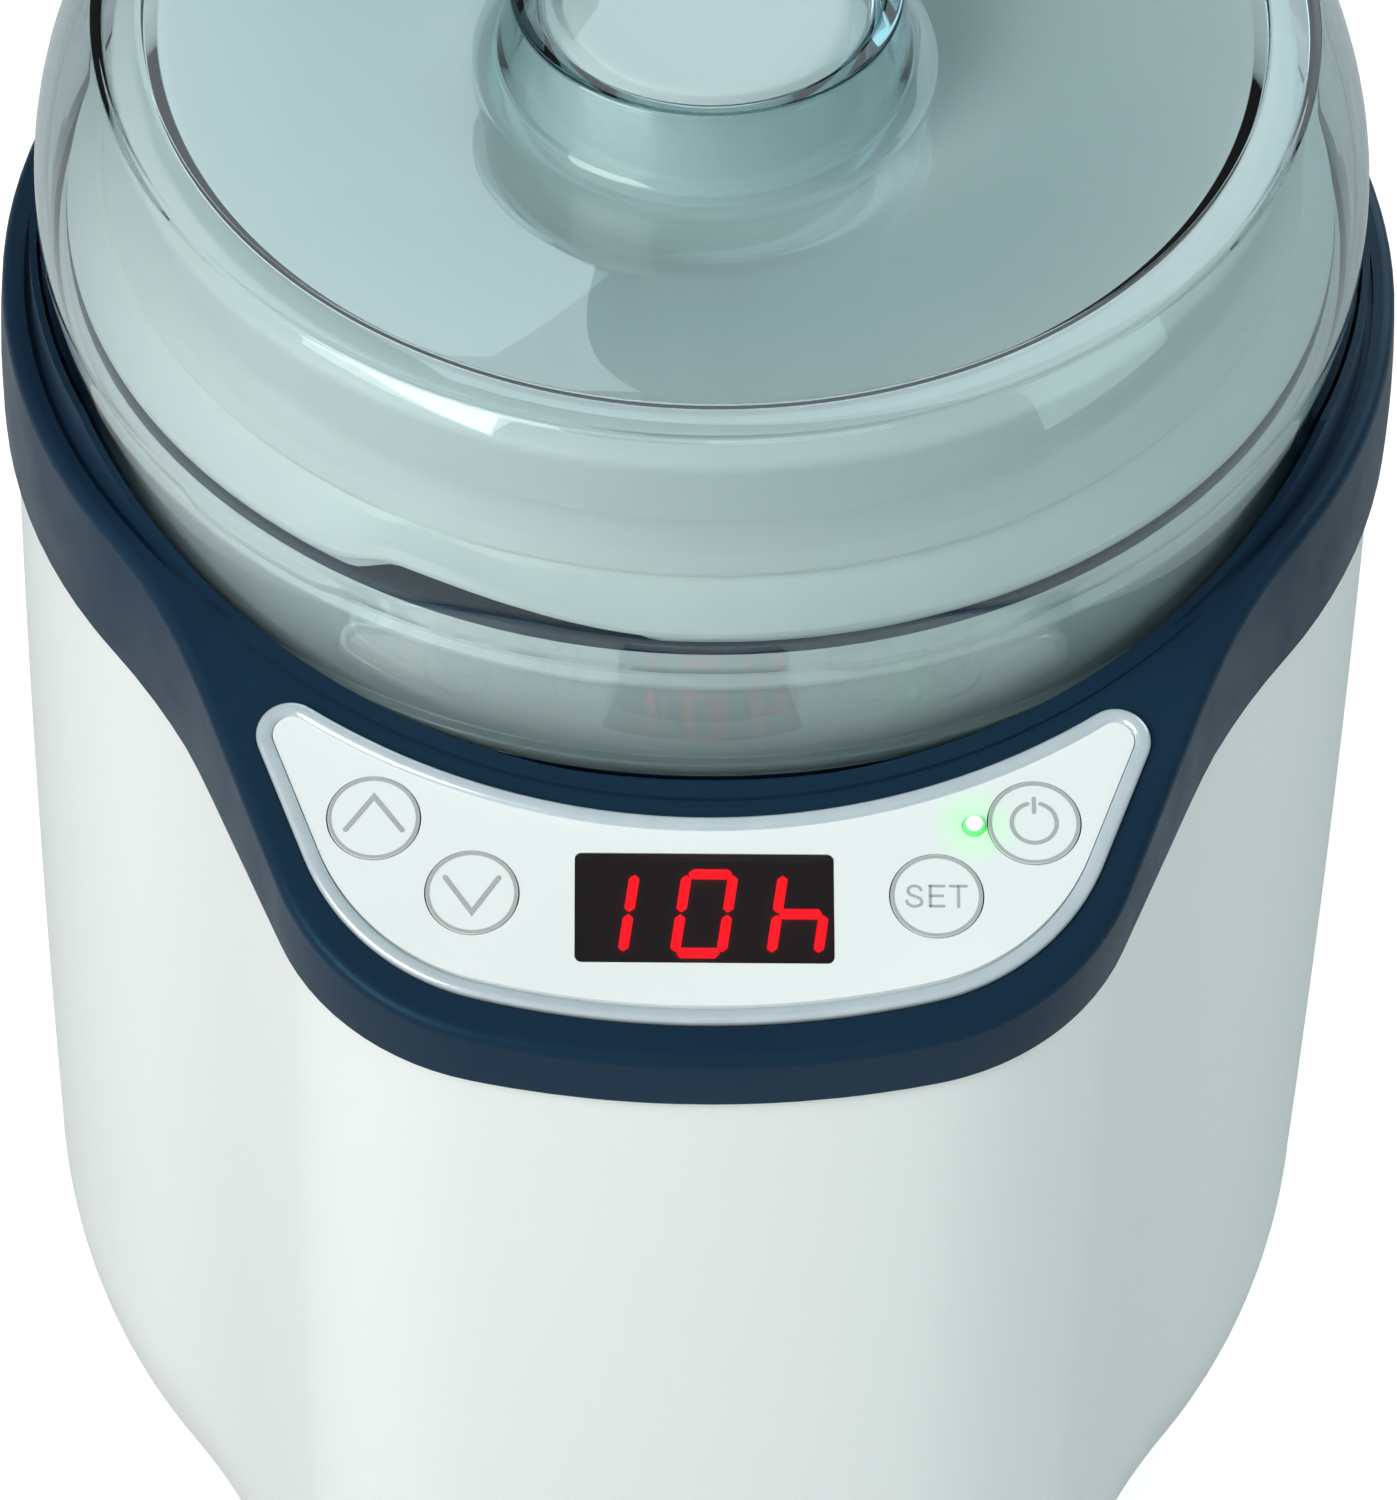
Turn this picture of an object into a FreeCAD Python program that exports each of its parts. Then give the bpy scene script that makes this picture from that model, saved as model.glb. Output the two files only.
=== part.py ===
import FreeCAD, Part
import math
import os
import Sketcher

# Countertop yogurt maker.
# The frame is +Z up with the floor at z = 0. The front, with the control panel, faces -Y.
# The pot, its lid and the cover share one upright axis at x = 0, y = axis_y, so that the
# origin is the middle of the object's footprint.

os.makedirs("parts", exist_ok=True)
doc = FreeCAD.newDocument("yogurt_maker")

# ---------------------------------------------------------------- driving dimensions (mm, degrees)
SIZES = [
    # outline of the body in plan: a round back with a blunt nose at the front
    ("body_radius", 94.4), ("nose_reach", 128.5), ("flank_angle", 21.4), ("flank_offset", 88.8),
    ("blend_radius", 130.0), ("corner_radius", 35.0), ("nose_radius", 130.0),
    ("axis_y", 16.6), ("wall", 2.6),
    # heights
    ("ring_height", 213.0), ("base_height", 5.3), ("total_height", 264.5),
    ("bulge_height", 49.0), ("bottom_rise", 45.0), ("bottom_tuck", 26.0),
    ("top_inset", 0.6), ("waist_inset", 3.5),
    # trim ring and sloping control ledge
    ("ledge_tilt", 15.5), ("brow_radius", 80.0), ("ledge_drop", 19.1), ("band_height", 21.5),
    ("band_front", 8.9), ("trim_wall", 2.8), ("band_bulge", 1.2), ("crease_round", 1.6),
    ("collar_inner", 90.3), ("collar_outer", 91.3), ("collar_rise", 7.0),
    ("groove_width", 0.9), ("groove_depth", 0.8),
    ("seat_drop", 8.0), ("seat_thick", 2.5), ("seat_inner", 85.0),
    # control panel, measured in the plane of the ledge
    ("frame_inset", 3.0), ("frame_radius", 95.2), ("fascia_inset", 5.3), ("fascia_radius", 97.0),
    ("frame_nose_gap", 1.0), ("fascia_nose_gap", 1.5),
    ("port_inset", 7.0), ("port_radius", 98.3), ("frame_proud", 0.9), ("fascia_proud", 0.3),
    ("recess_depth", 1.5), ("tip_round", 4.6), ("fascia_tip", 2.6), ("key_radius", 6.05), ("key_gap", 0.2),
    ("outer_key_x", 43.3), ("outer_key_v", 34.3), ("inner_key_x", 30.35), ("inner_key_v", 23.4),
    ("led_x", 35.4), ("led_v", 33.8), ("led_radius", 1.5),
    ("window_half", 16.85), ("window_rise", 7.95), ("window_v", 21.4), ("window_round", 0.85),
    ("board_depth", 9.0), ("board_thick", 1.6),
    # heating well
    ("well_radius", 81.0), ("well_wall", 2.0), ("well_floor", 96.0), ("well_rim", 225.6),
    ("rim_outer", 87.0), ("rim_wall", 2.0), ("flange_outer", 88.0), ("flange_thick", 1.8),
    # pot
    ("pot_radius", 76.0), ("pot_wall", 2.0), ("pot_rim", 228.5), ("pot_flange", 80.8),
    ("pot_flange_thick", 2.4), ("pot_foot_round", 8.0),
    # pot lid
    ("lid_skirt", 85.0), ("lid_skirt_low", 227.3), ("lid_skirt_inner", 81.3),
    ("lid_ledge", 230.2), ("lid_neck", 233.6), ("lid_radius", 80.0), ("lid_top", 254.6),
    ("lid_wall", 2.0), ("lid_dish", 247.6), ("knob_radius", 19.4), ("knob_top", 261.4),
    # cover
    ("cover_foot", 90.0), ("cover_wall", 1.8), ("cover_shoulder", 82.2), ("shoulder_height", 259.6),
    ("cover_bend", 226.0), ("rim_inner", 75.0), ("dish_height", 251.5),
    ("handle_outer", 26.2), ("handle_inner", 23.6), ("handle_base", 28.4), ("eye_height", 263.5),
    # heater, board and foot sizes
    ("heater_radius", 70.0), ("heater_thick", 4.0), ("foot_radius", 8.0), ("foot_height", 3.5),
    ("gland_height", 40.0), ("gland_bore", 3.5), ("gland_barrel", 6.0), ("gland_flange", 9.0),
]
dims = doc.addObject("Spreadsheet::Sheet", "dims")
for row, (alias, number) in enumerate(SIZES, start=1):
    dims.set("A%d" % row, alias)
    dims.set("B%d" % row, str(number))
    dims.setAlias("B%d" % row, alias)
doc.recompute()
D = {alias: float(dims.get(alias)) for alias, number in SIZES}

Vec = FreeCAD.Vector
NODES = []


# ---------------------------------------------------------------- helpers
def amount(terms):
    """Value of a sum such as 'well_radius - well_wall + 2'."""
    total = 0.0
    sign = 1.0
    for word in terms.split():
        if word in ("+", "-"):
            sign = 1.0 if word == "+" else -1.0
        elif word in D:
            total += sign * D[word]
        else:
            total += sign * float(word)
    return total


def formula(terms):
    """The same sum written as a spreadsheet expression."""
    return " ".join("dims." + word if word in D else word for word in terms.split())


def bind(obj, prop, terms):
    obj.setExpression(prop, formula(terms))


def node(obj, label, on_axis=True):
    """Names a finished sub-part and stands it on the pot's axis."""
    obj.Label = label
    if on_axis:
        bind(obj, "Placement.Base.y", "axis_y")
    NODES.append(obj)
    return obj


def on_ledge(obj, label):
    """Names a sub-part drawn in the plane of the sloping ledge: x across, y up the slope."""
    obj.Label = label
    bind(obj, "Placement.Base.y", "axis_y - nose_reach")
    bind(obj, "Placement.Base.z", "ring_height - ledge_drop")
    obj.setExpression("Placement.Rotation.Angle", "dims.ledge_tilt * 1 deg")
    obj.setExpression("Placement.Rotation.Axis.x", "1")
    obj.setExpression("Placement.Rotation.Axis.y", "0")
    obj.setExpression("Placement.Rotation.Axis.z", "0")
    NODES.append(obj)
    return obj


def origin_plane(body, role):
    for feature in body.Origin.OriginFeatures:
        if feature.Role == role:
            return feature
    raise RuntimeError(role)


def fix_point(sketch, index, place, terms_x, terms_y):
    """Ties one vertex of a sketch to the sheet."""
    if amount(terms_x) == 0.0:
        sketch.addConstraint(Sketcher.Constraint("PointOnObject", index, place, -2))
    else:
        number = sketch.addConstraint(
            Sketcher.Constraint("DistanceX", -1, 1, index, place, amount(terms_x)))
        sketch.setExpression("Constraints[%d]" % number, formula(terms_x))
    number = sketch.addConstraint(
        Sketcher.Constraint("DistanceY", -1, 1, index, place, amount(terms_y)))
    sketch.setExpression("Constraints[%d]" % number, formula(terms_y))


def bowed(start, end, radius):
    """Arc between two points; a positive radius bows to the left of the way from start to end.
    The arc itself always runs anticlockwise, so a left bow runs from end to start."""
    chord = end - start
    side = Vec(-chord.y, chord.x, 0).normalize()
    half = chord.Length / 2.0
    reach = math.sqrt(radius * radius - half * half)
    centre = (start + end) * 0.5 - side * math.copysign(reach, radius)
    first, last = (end, start) if radius > 0 else (start, end)
    first_angle = math.atan2(first.y - centre.y, first.x - centre.x)
    last_angle = math.atan2(last.y - centre.y, last.x - centre.x)
    if last_angle < first_angle:
        last_angle += 2 * math.pi
    return Part.ArcOfCircle(Part.Circle(centre, Vec(0, 0, 1), abs(radius)), first_angle, last_angle)


def lathe(label, outline):
    """A turned body: the outline holds (radius, height) sums, or (radius, height, bow) where the
    stretch to the next point is an arc with that bow radius."""
    body = doc.addObject("PartDesign::Body", label + "_body")
    sketch = body.newObject("Sketcher::SketchObject", label + "_profile")
    sketch.AttachmentSupport = [(origin_plane(body, "XZ_Plane"), "")]
    sketch.MapMode = "FlatFace"
    points = [Vec(amount(item[0]), amount(item[1]), 0) for item in outline]
    count = len(outline)
    first_points = []
    for index, item in enumerate(outline):
        start = points[index]
        end = points[(index + 1) % count]
        if len(item) == 3:
            sketch.addGeometry(bowed(start, end, item[2]), False)
            first_points.append(2 if item[2] > 0 else 1)
        else:
            sketch.addGeometry(Part.LineSegment(start, end), False)
            first_points.append(1)
    for index in range(count):
        following = (index + 1) % count
        sketch.addConstraint(Sketcher.Constraint(
            "Coincident", index, 3 - first_points[index], following, first_points[following]))
    for index, item in enumerate(outline):
        fix_point(sketch, index, first_points[index], item[0], item[1])
        if len(item) == 3:
            sketch.addConstraint(Sketcher.Constraint("Radius", index, abs(item[2])))
    turn = body.newObject("PartDesign::Revolution", label + "_turn")
    turn.Profile = sketch
    turn.ReferenceAxis = (sketch, ["V_Axis"])
    turn.Angle = 360.0
    body.Tip = turn
    doc.recompute()
    return body


def round_edges(body, label, radius, picks):
    """Rounds the circular edges found at the given (radius, height) pairs."""
    base = body.Tip
    names = []
    for index, edge in enumerate(base.Shape.Edges, start=1):
        if not hasattr(edge.Curve, "Radius"):
            continue
        for want_radius, want_height in picks:
            near_radius = abs(edge.Curve.Radius - amount(want_radius)) < 0.02
            near_height = abs(edge.Curve.Center.z - amount(want_height)) < 0.02
            if near_radius and near_height:
                names.append("Edge%d" % index)
    fillet = body.newObject("PartDesign::Fillet", label)
    fillet.Base = (base, names)
    fillet.Radius = radius
    body.Tip = fillet
    doc.recompute()
    return body


def rod(label, radius, height, x="0", y="0", z="0"):
    """Upright cylinder bound to the sheet."""
    shape = doc.addObject("Part::Cylinder", label)
    bind(shape, "Radius", radius)
    bind(shape, "Height", height)
    bind(shape, "Placement.Base.x", x)
    bind(shape, "Placement.Base.y", y)
    bind(shape, "Placement.Base.z", z)
    return shape


def block(label, size, low):
    """Box bound to the sheet: size and lowest corner are triples of sums."""
    shape = doc.addObject("Part::Box", label)
    for prop, terms in zip(("Length", "Width", "Height"), size):
        bind(shape, prop, terms)
    for prop, terms in zip("xyz", low):
        bind(shape, "Placement.Base." + prop, terms)
    return shape


def cut(label, base, tool):
    result = doc.addObject("Part::Cut", label)
    result.Base = base
    result.Tool = tool
    return result


def fuse(label, pieces):
    result = doc.addObject("Part::MultiFuse", label)
    result.Shapes = pieces
    return result


def group(label, pieces):
    result = doc.addObject("Part::Compound", label)
    result.Links = pieces
    return result


def tube(label, outer, inner, height, z, x="0", y="0"):
    bore = rod(label + "_bore", inner, height + " + 2", x, y, z + " - 1")
    return cut(label, rod(label + "_stock", outer, height, x, y, z), bore)


def shaped(label, shape):
    """A sub-part whose shape comes from the outline functions below."""
    feature = doc.addObject("Part::Feature", label)
    feature.Shape = shape
    return feature


def is_upright(edge):
    low, high = edge.Vertexes[0].Point, edge.Vertexes[-1].Point
    return abs(high.z - low.z) > 0.1 and math.hypot(high.x - low.x, high.y - low.y) < 0.001


def upright_edges(shape):
    return [edge for edge in shape.Edges if is_upright(edge)]


# ---------------------------------------------------------------- outline of the body in plan
def body_outline(inset, z=0.0, nose_gap=0.0):
    """Closed wire: round back, hollow blends, straight flanks, round corners, gently bowed nose."""
    radius = D["body_radius"] - inset
    flank = D["flank_offset"] - inset
    blend = D["blend_radius"] + inset
    corner = max(D["corner_radius"] - inset, 0.6)
    nose = D["nose_radius"] - inset
    tip = D["nose_reach"] - inset - nose_gap
    angle = math.radians(D["flank_angle"])
    out = Vec(math.cos(angle), -math.sin(angle), 0)
    along = Vec(-math.sin(angle), -math.cos(angle), 0)
    blend_run = math.sqrt((radius + blend) ** 2 - (flank + blend) ** 2)
    blend_centre = out * (flank + blend) + along * blend_run
    leave_round = blend_centre * (radius / (radius + blend))
    flank_start = out * flank + along * blend_run
    blend_middle = (leave_round + flank_start) * 0.5 - blend_centre
    blend_middle = blend_centre + blend_middle.normalize() * blend
    nose_centre = Vec(0, nose - tip, 0)
    offset = out * (flank - corner) - nose_centre
    half_b = offset.dot(along)
    run = -half_b + math.sqrt(half_b ** 2 - offset.dot(offset) + (nose - corner) ** 2)
    corner_centre = out * (flank - corner) + along * run
    flank_end = corner_centre + out * corner
    to_nose = (corner_centre - nose_centre).normalize()
    nose_start = nose_centre + to_nose * nose
    corner_middle = corner_centre + (out + to_nose).normalize() * corner
    right = [leave_round, blend_middle, flank_start, flank_end, corner_middle, nose_start]
    right = [Vec(p.x, p.y, z) for p in right]
    left = [Vec(-p.x, p.y, z) for p in right]
    edges = [
        Part.Arc(left[0], Vec(0, radius, z), right[0]).toShape(),
        Part.Arc(right[0], right[1], right[2]).toShape(),
        Part.LineSegment(right[2], right[3]).toShape(),
        Part.Arc(right[3], right[4], right[5]).toShape(),
        Part.Arc(right[5], Vec(0, -tip, z), left[5]).toShape(),
        Part.Arc(left[5], left[4], left[3]).toShape(),
        Part.LineSegment(left[3], left[2]).toShape(),
        Part.Arc(left[2], left[1], left[0]).toShape(),
    ]
    return Part.Wire(edges)


def prism(inset, low, high, nose_gap=0.0):
    return Part.Face(body_outline(inset, low, nose_gap)).extrude(Vec(0, 0, high - low))


def disc(radius, low, high):
    return Part.makeCylinder(radius, high - low, Vec(0, 0, low))


LEDGE_SLOPE = math.tan(math.radians(D["ledge_tilt"]))
LEDGE_LOW = D["ring_height"] - D["ledge_drop"]
LEDGE_PLACE = FreeCAD.Placement(
    Vec(0, -D["nose_reach"], LEDGE_LOW), FreeCAD.Rotation(Vec(1, 0, 0), D["ledge_tilt"]))
SPAN = 300.0


def ledge_slab(low, high):
    """Slab parallel to the ledge, between two depths measured along its normal."""
    slab = Part.makeBox(SPAN, SPAN, high - low, Vec(-SPAN / 2, -SPAN / 4, low))
    slab.Placement = LEDGE_PLACE
    return slab


def ledge_rod(radius, low, high, x, v):
    """Cylinder along the ledge's normal at a place given in the ledge's plane."""
    shape = Part.makeCylinder(radius, high - low, Vec(x, v, low))
    shape.Placement = LEDGE_PLACE
    return shape


def crescent(inset, radius, low, high, tip_round=0.0, nose_gap=0.0):
    """Part of the ledge outside the given radius, as a slab between two depths."""
    plan = prism(inset, LEDGE_LOW - 30, D["ring_height"] + 30, nose_gap)
    plan = plan.cut(disc(radius, LEDGE_LOW - 40, D["ring_height"] + 40))
    plan = plan.cut(Part.makeBox(SPAN, SPAN, SPAN, Vec(-SPAN / 2, -60, LEDGE_LOW - 50)))
    if tip_round:
        tips = []
        for edge in plan.Edges:
            upright = abs(edge.BoundBox.ZLength - 60 - D["ledge_drop"]) < 0.1
            middle = edge.CenterOfMass
            if upright and abs(math.hypot(middle.x, middle.y) - radius) < 0.01:
                tips.append(edge)
        plan = plan.makeFillet(tip_round, tips)
    return plan.common(ledge_slab(low, high))


# ---------------------------------------------------------------- housing
def housing_sections(thickness):
    """Outlines from the trim down: nearly upright sides, then a quarter oval under the body.
    The outlines are evenly spaced, so that the skin between them runs smoothly."""
    wires = []
    top = D["ring_height"] - D["ledge_drop"] + 6
    steps = 11
    for step in range(steps):
        share = step / steps
        height = top - share * (top - D["bulge_height"])
        inset = D["top_inset"] + share * share * (D["waist_inset"] - D["top_inset"])
        wires.append(body_outline(inset + thickness, height))
    for step in range(5):
        angle = math.radians(19.0 * step)
        inset = D["waist_inset"] + D["bottom_tuck"] * (1 - math.cos(angle))
        height = D["bulge_height"] - (D["bottom_rise"] - thickness) * math.sin(angle)
        wires.append(body_outline(inset + thickness * math.cos(angle), height))
    return wires


def housing_top():
    """Everything above the seam between housing and trim."""
    seam = D["ring_height"] - D["band_height"]
    front = D["ring_height"] - D["ledge_drop"] - D["band_front"]
    start = -(D["ring_height"] - LEDGE_LOW) / LEDGE_SLOPE + 12
    start = -D["nose_reach"] - start
    run = [Vec(0, -SPAN, seam - (seam - front) * (SPAN + start) / (D["nose_reach"] + start)),
           Vec(0, start, seam), Vec(0, SPAN, seam), Vec(0, SPAN, SPAN * 2), Vec(0, -SPAN, SPAN * 2)]
    face = Part.Face(Part.makePolygon(run + run[:1]))
    face.translate(Vec(-SPAN / 2, 0, 0))
    return face.extrude(Vec(SPAN, 0, 0))


above_seam = housing_top()
outer_skin = Part.makeLoft(housing_sections(0.0), True, False)
inner_skin = Part.makeLoft(housing_sections(D["wall"]), True, False)
housing = outer_skin.cut(inner_skin).cut(above_seam)
housing = housing.cut(disc(56.0, -1, 20))
SCREWS = [(40.0, 44.0), (-40.0, 44.0), (34.0, -68.0), (-34.0, -68.0)]
for x, y in SCREWS:
    boss = Part.makeCylinder(4.5, 22.0, Vec(x, y, D["base_height"] + 0.4))
    housing = housing.fuse(boss)
for x, y in SCREWS:
    housing = housing.cut(Part.makeCylinder(1.6, 20.0, Vec(x, y, D["base_height"] - 1)))
gland_hole = Part.makeCylinder(
    D["gland_barrel"] + 0.2, 20.0, Vec(0, 80.0, D["gland_height"]), Vec(0, 1, 0))
housing = housing.cut(gland_hole).removeSplitter()
node(shaped("outer_housing", housing), "outer_housing")

# ---------------------------------------------------------------- base
base = prism(27.0, D["foot_height"] - 0.5, D["base_height"])
for x, y in SCREWS:
    base = base.cut(Part.makeCylinder(1.9, 20.0, Vec(x, y, -1)))
    base = base.cut(Part.makeCylinder(3.6, 1.4, Vec(x, y, D["foot_height"] - 0.6)))
BOARD_POSTS = [(36.0, 20.0), (-36.0, 20.0), (36.0, -26.0), (-36.0, -26.0)]
BOARD_HEIGHT = 20.0
for x, y in BOARD_POSTS:
    post = Part.makeCylinder(3.2, BOARD_HEIGHT - D["base_height"] + 0.5, Vec(x, y, D["base_height"] - 0.5))
    base = base.fuse(post)
    base = base.cut(Part.makeCylinder(1.25, 12.0, Vec(x, y, BOARD_HEIGHT - 11)))
VENTS = [-24.0, -16.0, -8.0, 0.0, 8.0, 16.0, 24.0]
for x in VENTS:
    base = base.cut(Part.makeBox(3.0, 30.0, 10.0, Vec(x - 1.5, -22.0, -2)))
node(shaped("base_plate", base.removeSplitter()), "base_plate")

FEET = [("44", "30"), ("-44", "30"), ("26", "-86"), ("-26", "-86")]
feet = []
for number, (x, y) in enumerate(FEET, start=1):
    foot = doc.addObject("Part::Cone", "foot_%d" % number)
    bind(foot, "Radius1", "foot_radius - 1")
    bind(foot, "Radius2", "foot_radius")
    bind(foot, "Height", "foot_height - 0.5")
    bind(foot, "Placement.Base.x", x)
    bind(foot, "Placement.Base.y", y)
    feet.append(foot)
node(group("rubber_feet", feet), "rubber_feet")


def screw(label, x, y, head_low, head_high, head_radius, shank_radius, shank_top):
    """Screw driven upwards: a round head below and a plain shank above it."""
    head = rod(label + "_head", head_radius, "%s - %s" % (head_high, head_low), x, y, head_low)
    shank = rod(label + "_shank", shank_radius, "%s - %s" % (shank_top, head_high), x, y, head_high)
    return fuse(label, [head, shank])


base_screws = []
for number, (x, y) in enumerate(SCREWS, start=1):
    base_screws.append(screw(
        "base_screw_%d" % number, str(x), str(y), "3.1", "4.3", "3.4", "1.5", "20"))
node(group("base_screws", base_screws), "base_screws")

# ---------------------------------------------------------------- trim ring and ledge
RING = D["ring_height"]


def turned(points):
    """Solid of revolution from (radius, height) pairs."""
    corners = [Vec(radius, 0, height) for radius, height in points]
    return Part.Face(Part.makePolygon(corners + corners[:1])).revolve(Vec(0, 0, 0), Vec(0, 0, 1), 360)


def below_ledge(depth):
    """Space below the flat ring top and the sloping ledge, both lowered by the depth."""
    tilt = math.radians(D["ledge_tilt"])
    high = RING - depth
    meet = -D["nose_reach"] + (high - LEDGE_LOW + depth / math.cos(tilt)) / LEDGE_SLOPE
    round_run = (D["brow_radius"] - depth) * math.tan(tilt / 2)
    brow_back = Vec(0, meet + round_run, high)
    brow_front = Vec(0, meet - round_run * math.cos(tilt), high - round_run * math.sin(tilt))
    brow_middle = Vec(0, brow_back.y - (D["brow_radius"] - depth) * math.sin(tilt / 2),
                      high - (D["brow_radius"] - depth) * (1 - math.cos(tilt / 2)))
    far = Vec(0, -SPAN, high + LEDGE_SLOPE * (-SPAN - meet))
    corners = [far, Vec(0, -SPAN, -SPAN), Vec(0, SPAN, -SPAN), Vec(0, SPAN, high), brow_back]
    edges = [Part.LineSegment(a, b).toShape() for a, b in zip(corners, corners[1:])]
    edges.append(Part.Arc(brow_back, brow_middle, brow_front).toShape())
    edges.append(Part.LineSegment(brow_front, far).toShape())
    face = Part.Face(Part.Wire(edges))
    face.translate(Vec(-SPAN / 2, 0, 0))
    return face.extrude(Vec(SPAN, 0, 0))


def rim_of_top(shape):
    """Edges around the upward faces that no two upward faces share."""
    uppers = [face for face in shape.Faces if face.normalAt(*middle_of(face)).z > 0.9]
    edges = [edge for face in uppers for edge in face.Edges]
    return [edge for edge in edges if sum(edge.isSame(other) for other in edges) == 1]


def middle_of(face):
    low_u, high_u, low_v, high_v = face.ParameterRange
    return (low_u + high_u) / 2, (low_v + high_v) / 2


seat_top = RING - D["seat_drop"]
seat_low = seat_top - D["seat_thick"]
band_middle = RING - D["band_height"] * 0.6
band = []
for step in range(-5, 6):
    share = step / 3.0
    band.append(body_outline(D["band_bulge"] * (share * share - 1.0), band_middle + 6.5 * step))
trim = Part.makeLoft(band, True, False).common(below_ledge(0.0)).common(above_seam)
trim = trim.makeFillet(D["crease_round"], rim_of_top(trim))
hollow = prism(D["trim_wall"], 100.0, RING + 20).common(below_ledge(D["trim_wall"]))
trim = trim.cut(hollow)
collar = turned([(D["seat_inner"], seat_low), (D["collar_outer"] + 1.2, seat_low),
                 (D["collar_outer"] + 1.2, RING - 1.5), (D["collar_outer"], RING - 1.5),
                 (D["collar_outer"], RING + D["collar_rise"]),
                 (D["collar_inner"], RING + D["collar_rise"]), (D["collar_inner"], seat_top),
                 (D["seat_inner"], seat_top)])
slope_only = Part.makeBox(SPAN * 2, SPAN * 2, SPAN, Vec(-SPAN, -SPAN / 2, 0.55))
slope_only.Placement = LEDGE_PLACE
trim = trim.cut(disc(D["collar_outer"], 100.0, RING + 30)).fuse(collar.cut(slope_only))
groove = turned([(D["collar_outer"], RING - D["groove_depth"]),
                 (D["collar_outer"] + D["groove_width"], RING - D["groove_depth"]),
                 (D["collar_outer"] + D["groove_width"], RING + 1), (D["collar_outer"], RING + 1)])
trim = trim.cut(groove)
trim = trim.cut(crescent(D["frame_inset"], D["frame_radius"], -D["recess_depth"], 5.0,
                         D["tip_round"], D["frame_nose_gap"]))
trim = trim.cut(crescent(D["port_inset"], D["port_radius"], -12.0, 0.0, 0.0, D["fascia_nose_gap"]))
node(shaped("trim_ring", trim.removeSplitter()), "trim_ring")

# ---------------------------------------------------------------- control panel
frame = crescent(D["frame_inset"] + 0.05, D["frame_radius"] + 0.05, -D["recess_depth"],
                 D["frame_proud"], D["tip_round"], D["frame_nose_gap"])
frame = frame.cut(crescent(D["fascia_inset"] - 0.05, D["fascia_radius"] - 0.05, -5.0, 5.0,
                           D["fascia_tip"], D["fascia_nose_gap"]))
node(shaped("panel_frame", frame), "panel_frame")

KEYS = [("up", -1, "outer"), ("down", -1, "inner"), ("set", 1, "inner"), ("power", 1, "outer")]
POSTS = [(23.6, 14.8), (-23.6, 14.8), (48.6, 39.6), (-48.6, 39.6)]
fascia = crescent(D["fascia_inset"], D["fascia_radius"], -D["recess_depth"], D["fascia_proud"],
                  D["fascia_tip"], D["fascia_nose_gap"])
for x, v in POSTS:
    fascia = fascia.fuse(ledge_rod(2.4, -D["board_depth"], -1.0, x, v))
    fascia = fascia.cut(ledge_rod(1.05, -D["board_depth"] - 1, -2.5, x, v))
for name, side, rank in KEYS:
    hole = D["key_radius"] + D["key_gap"]
    fascia = fascia.cut(ledge_rod(hole, -5, 5, side * D[rank + "_key_x"], D[rank + "_key_v"]))
fascia = fascia.cut(ledge_rod(D["led_radius"] + 0.1, -5, 5, D["led_x"], D["led_v"]))
clearance = 0.1
window = Part.makeBox(2 * (D["window_half"] + clearance), 2 * (D["window_rise"] + clearance), 10.0, Vec(
    -D["window_half"] - clearance, D["window_v"] - D["window_rise"] - clearance, -5))
window = window.makeFillet(D["window_round"] + clearance, upright_edges(window))
window.Placement = LEDGE_PLACE
node(shaped("control_fascia", fascia.cut(window)), "control_fascia")

lens_pane = block(
    "lens_pane", ("window_half + window_half", "window_rise + window_rise", "recess_depth + fascia_proud"),
    ("0 - window_half", "window_v - window_rise", "0 - recess_depth"))
doc.recompute()
lens = doc.addObject("Part::Fillet", "lens_rounded")
lens.Base = lens_pane
lens.Edges = [(index, D["window_round"], D["window_round"])
              for index, edge in enumerate(lens_pane.Shape.Edges, start=1) if is_upright(edge)]
on_ledge(fuse("display_lens", [lens, block("lens_step", ("30", "12", "0.15"),
                                           ("-15", "window_v - 6", "-1.65"))]), "display_lens")
on_ledge(group("display_module", [block("display_case", ("37.6", "16.4", "6.8"), (
    "-18.8", "window_v - 8.7", "0 - board_depth"))]), "display_module")

# Seven-segment bars, leaning 8 degrees: 1, 0 and the sign for hours.
LEAN = math.tan(math.radians(8.0))
DIGIT_TALL = 12.7
DIGIT_WIDE = 6.6
BAR = 1.35
SEGMENTS = {
    "a": ((0, 1), (1, 1)), "b": ((1, 1), (1, 0.5)), "c": ((1, 0.5), (1, 0)), "d": ((0, 0), (1, 0)),
    "e": ((0, 0.5), (0, 0)), "f": ((0, 1), (0, 0.5)), "g": ((0, 0.5), (1, 0.5)),
}
DIGITS = [(-12.8, "bc"), (0.0, "abcdef"), (12.8, "cefg")]


def segment_bar(start, end, centre_x):
    """Hexagonal bar between two corners of the digit's grid."""
    tall = DIGIT_TALL - BAR
    wide = DIGIT_WIDE
    a = Vec((start[0] - 0.5) * wide, (start[1] - 0.5) * tall, 0)
    b = Vec((end[0] - 0.5) * wide, (end[1] - 0.5) * tall, 0)
    along = (b - a).normalize()
    side = Vec(-along.y, along.x, 0) * (BAR / 2)
    gap = 0.18
    a = a + along * gap
    b = b - along * gap
    shoulder = along * (BAR / 2)
    outline = [a, a + shoulder + side, b - shoulder + side, b, b - shoulder - side, a + shoulder - side]
    outline = [Vec(p.x + p.y * LEAN + centre_x, p.y + D["window_v"], -2.2) for p in outline]
    return Part.Face(Part.makePolygon(outline + outline[:1])).extrude(Vec(0, 0, 0.4))


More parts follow.
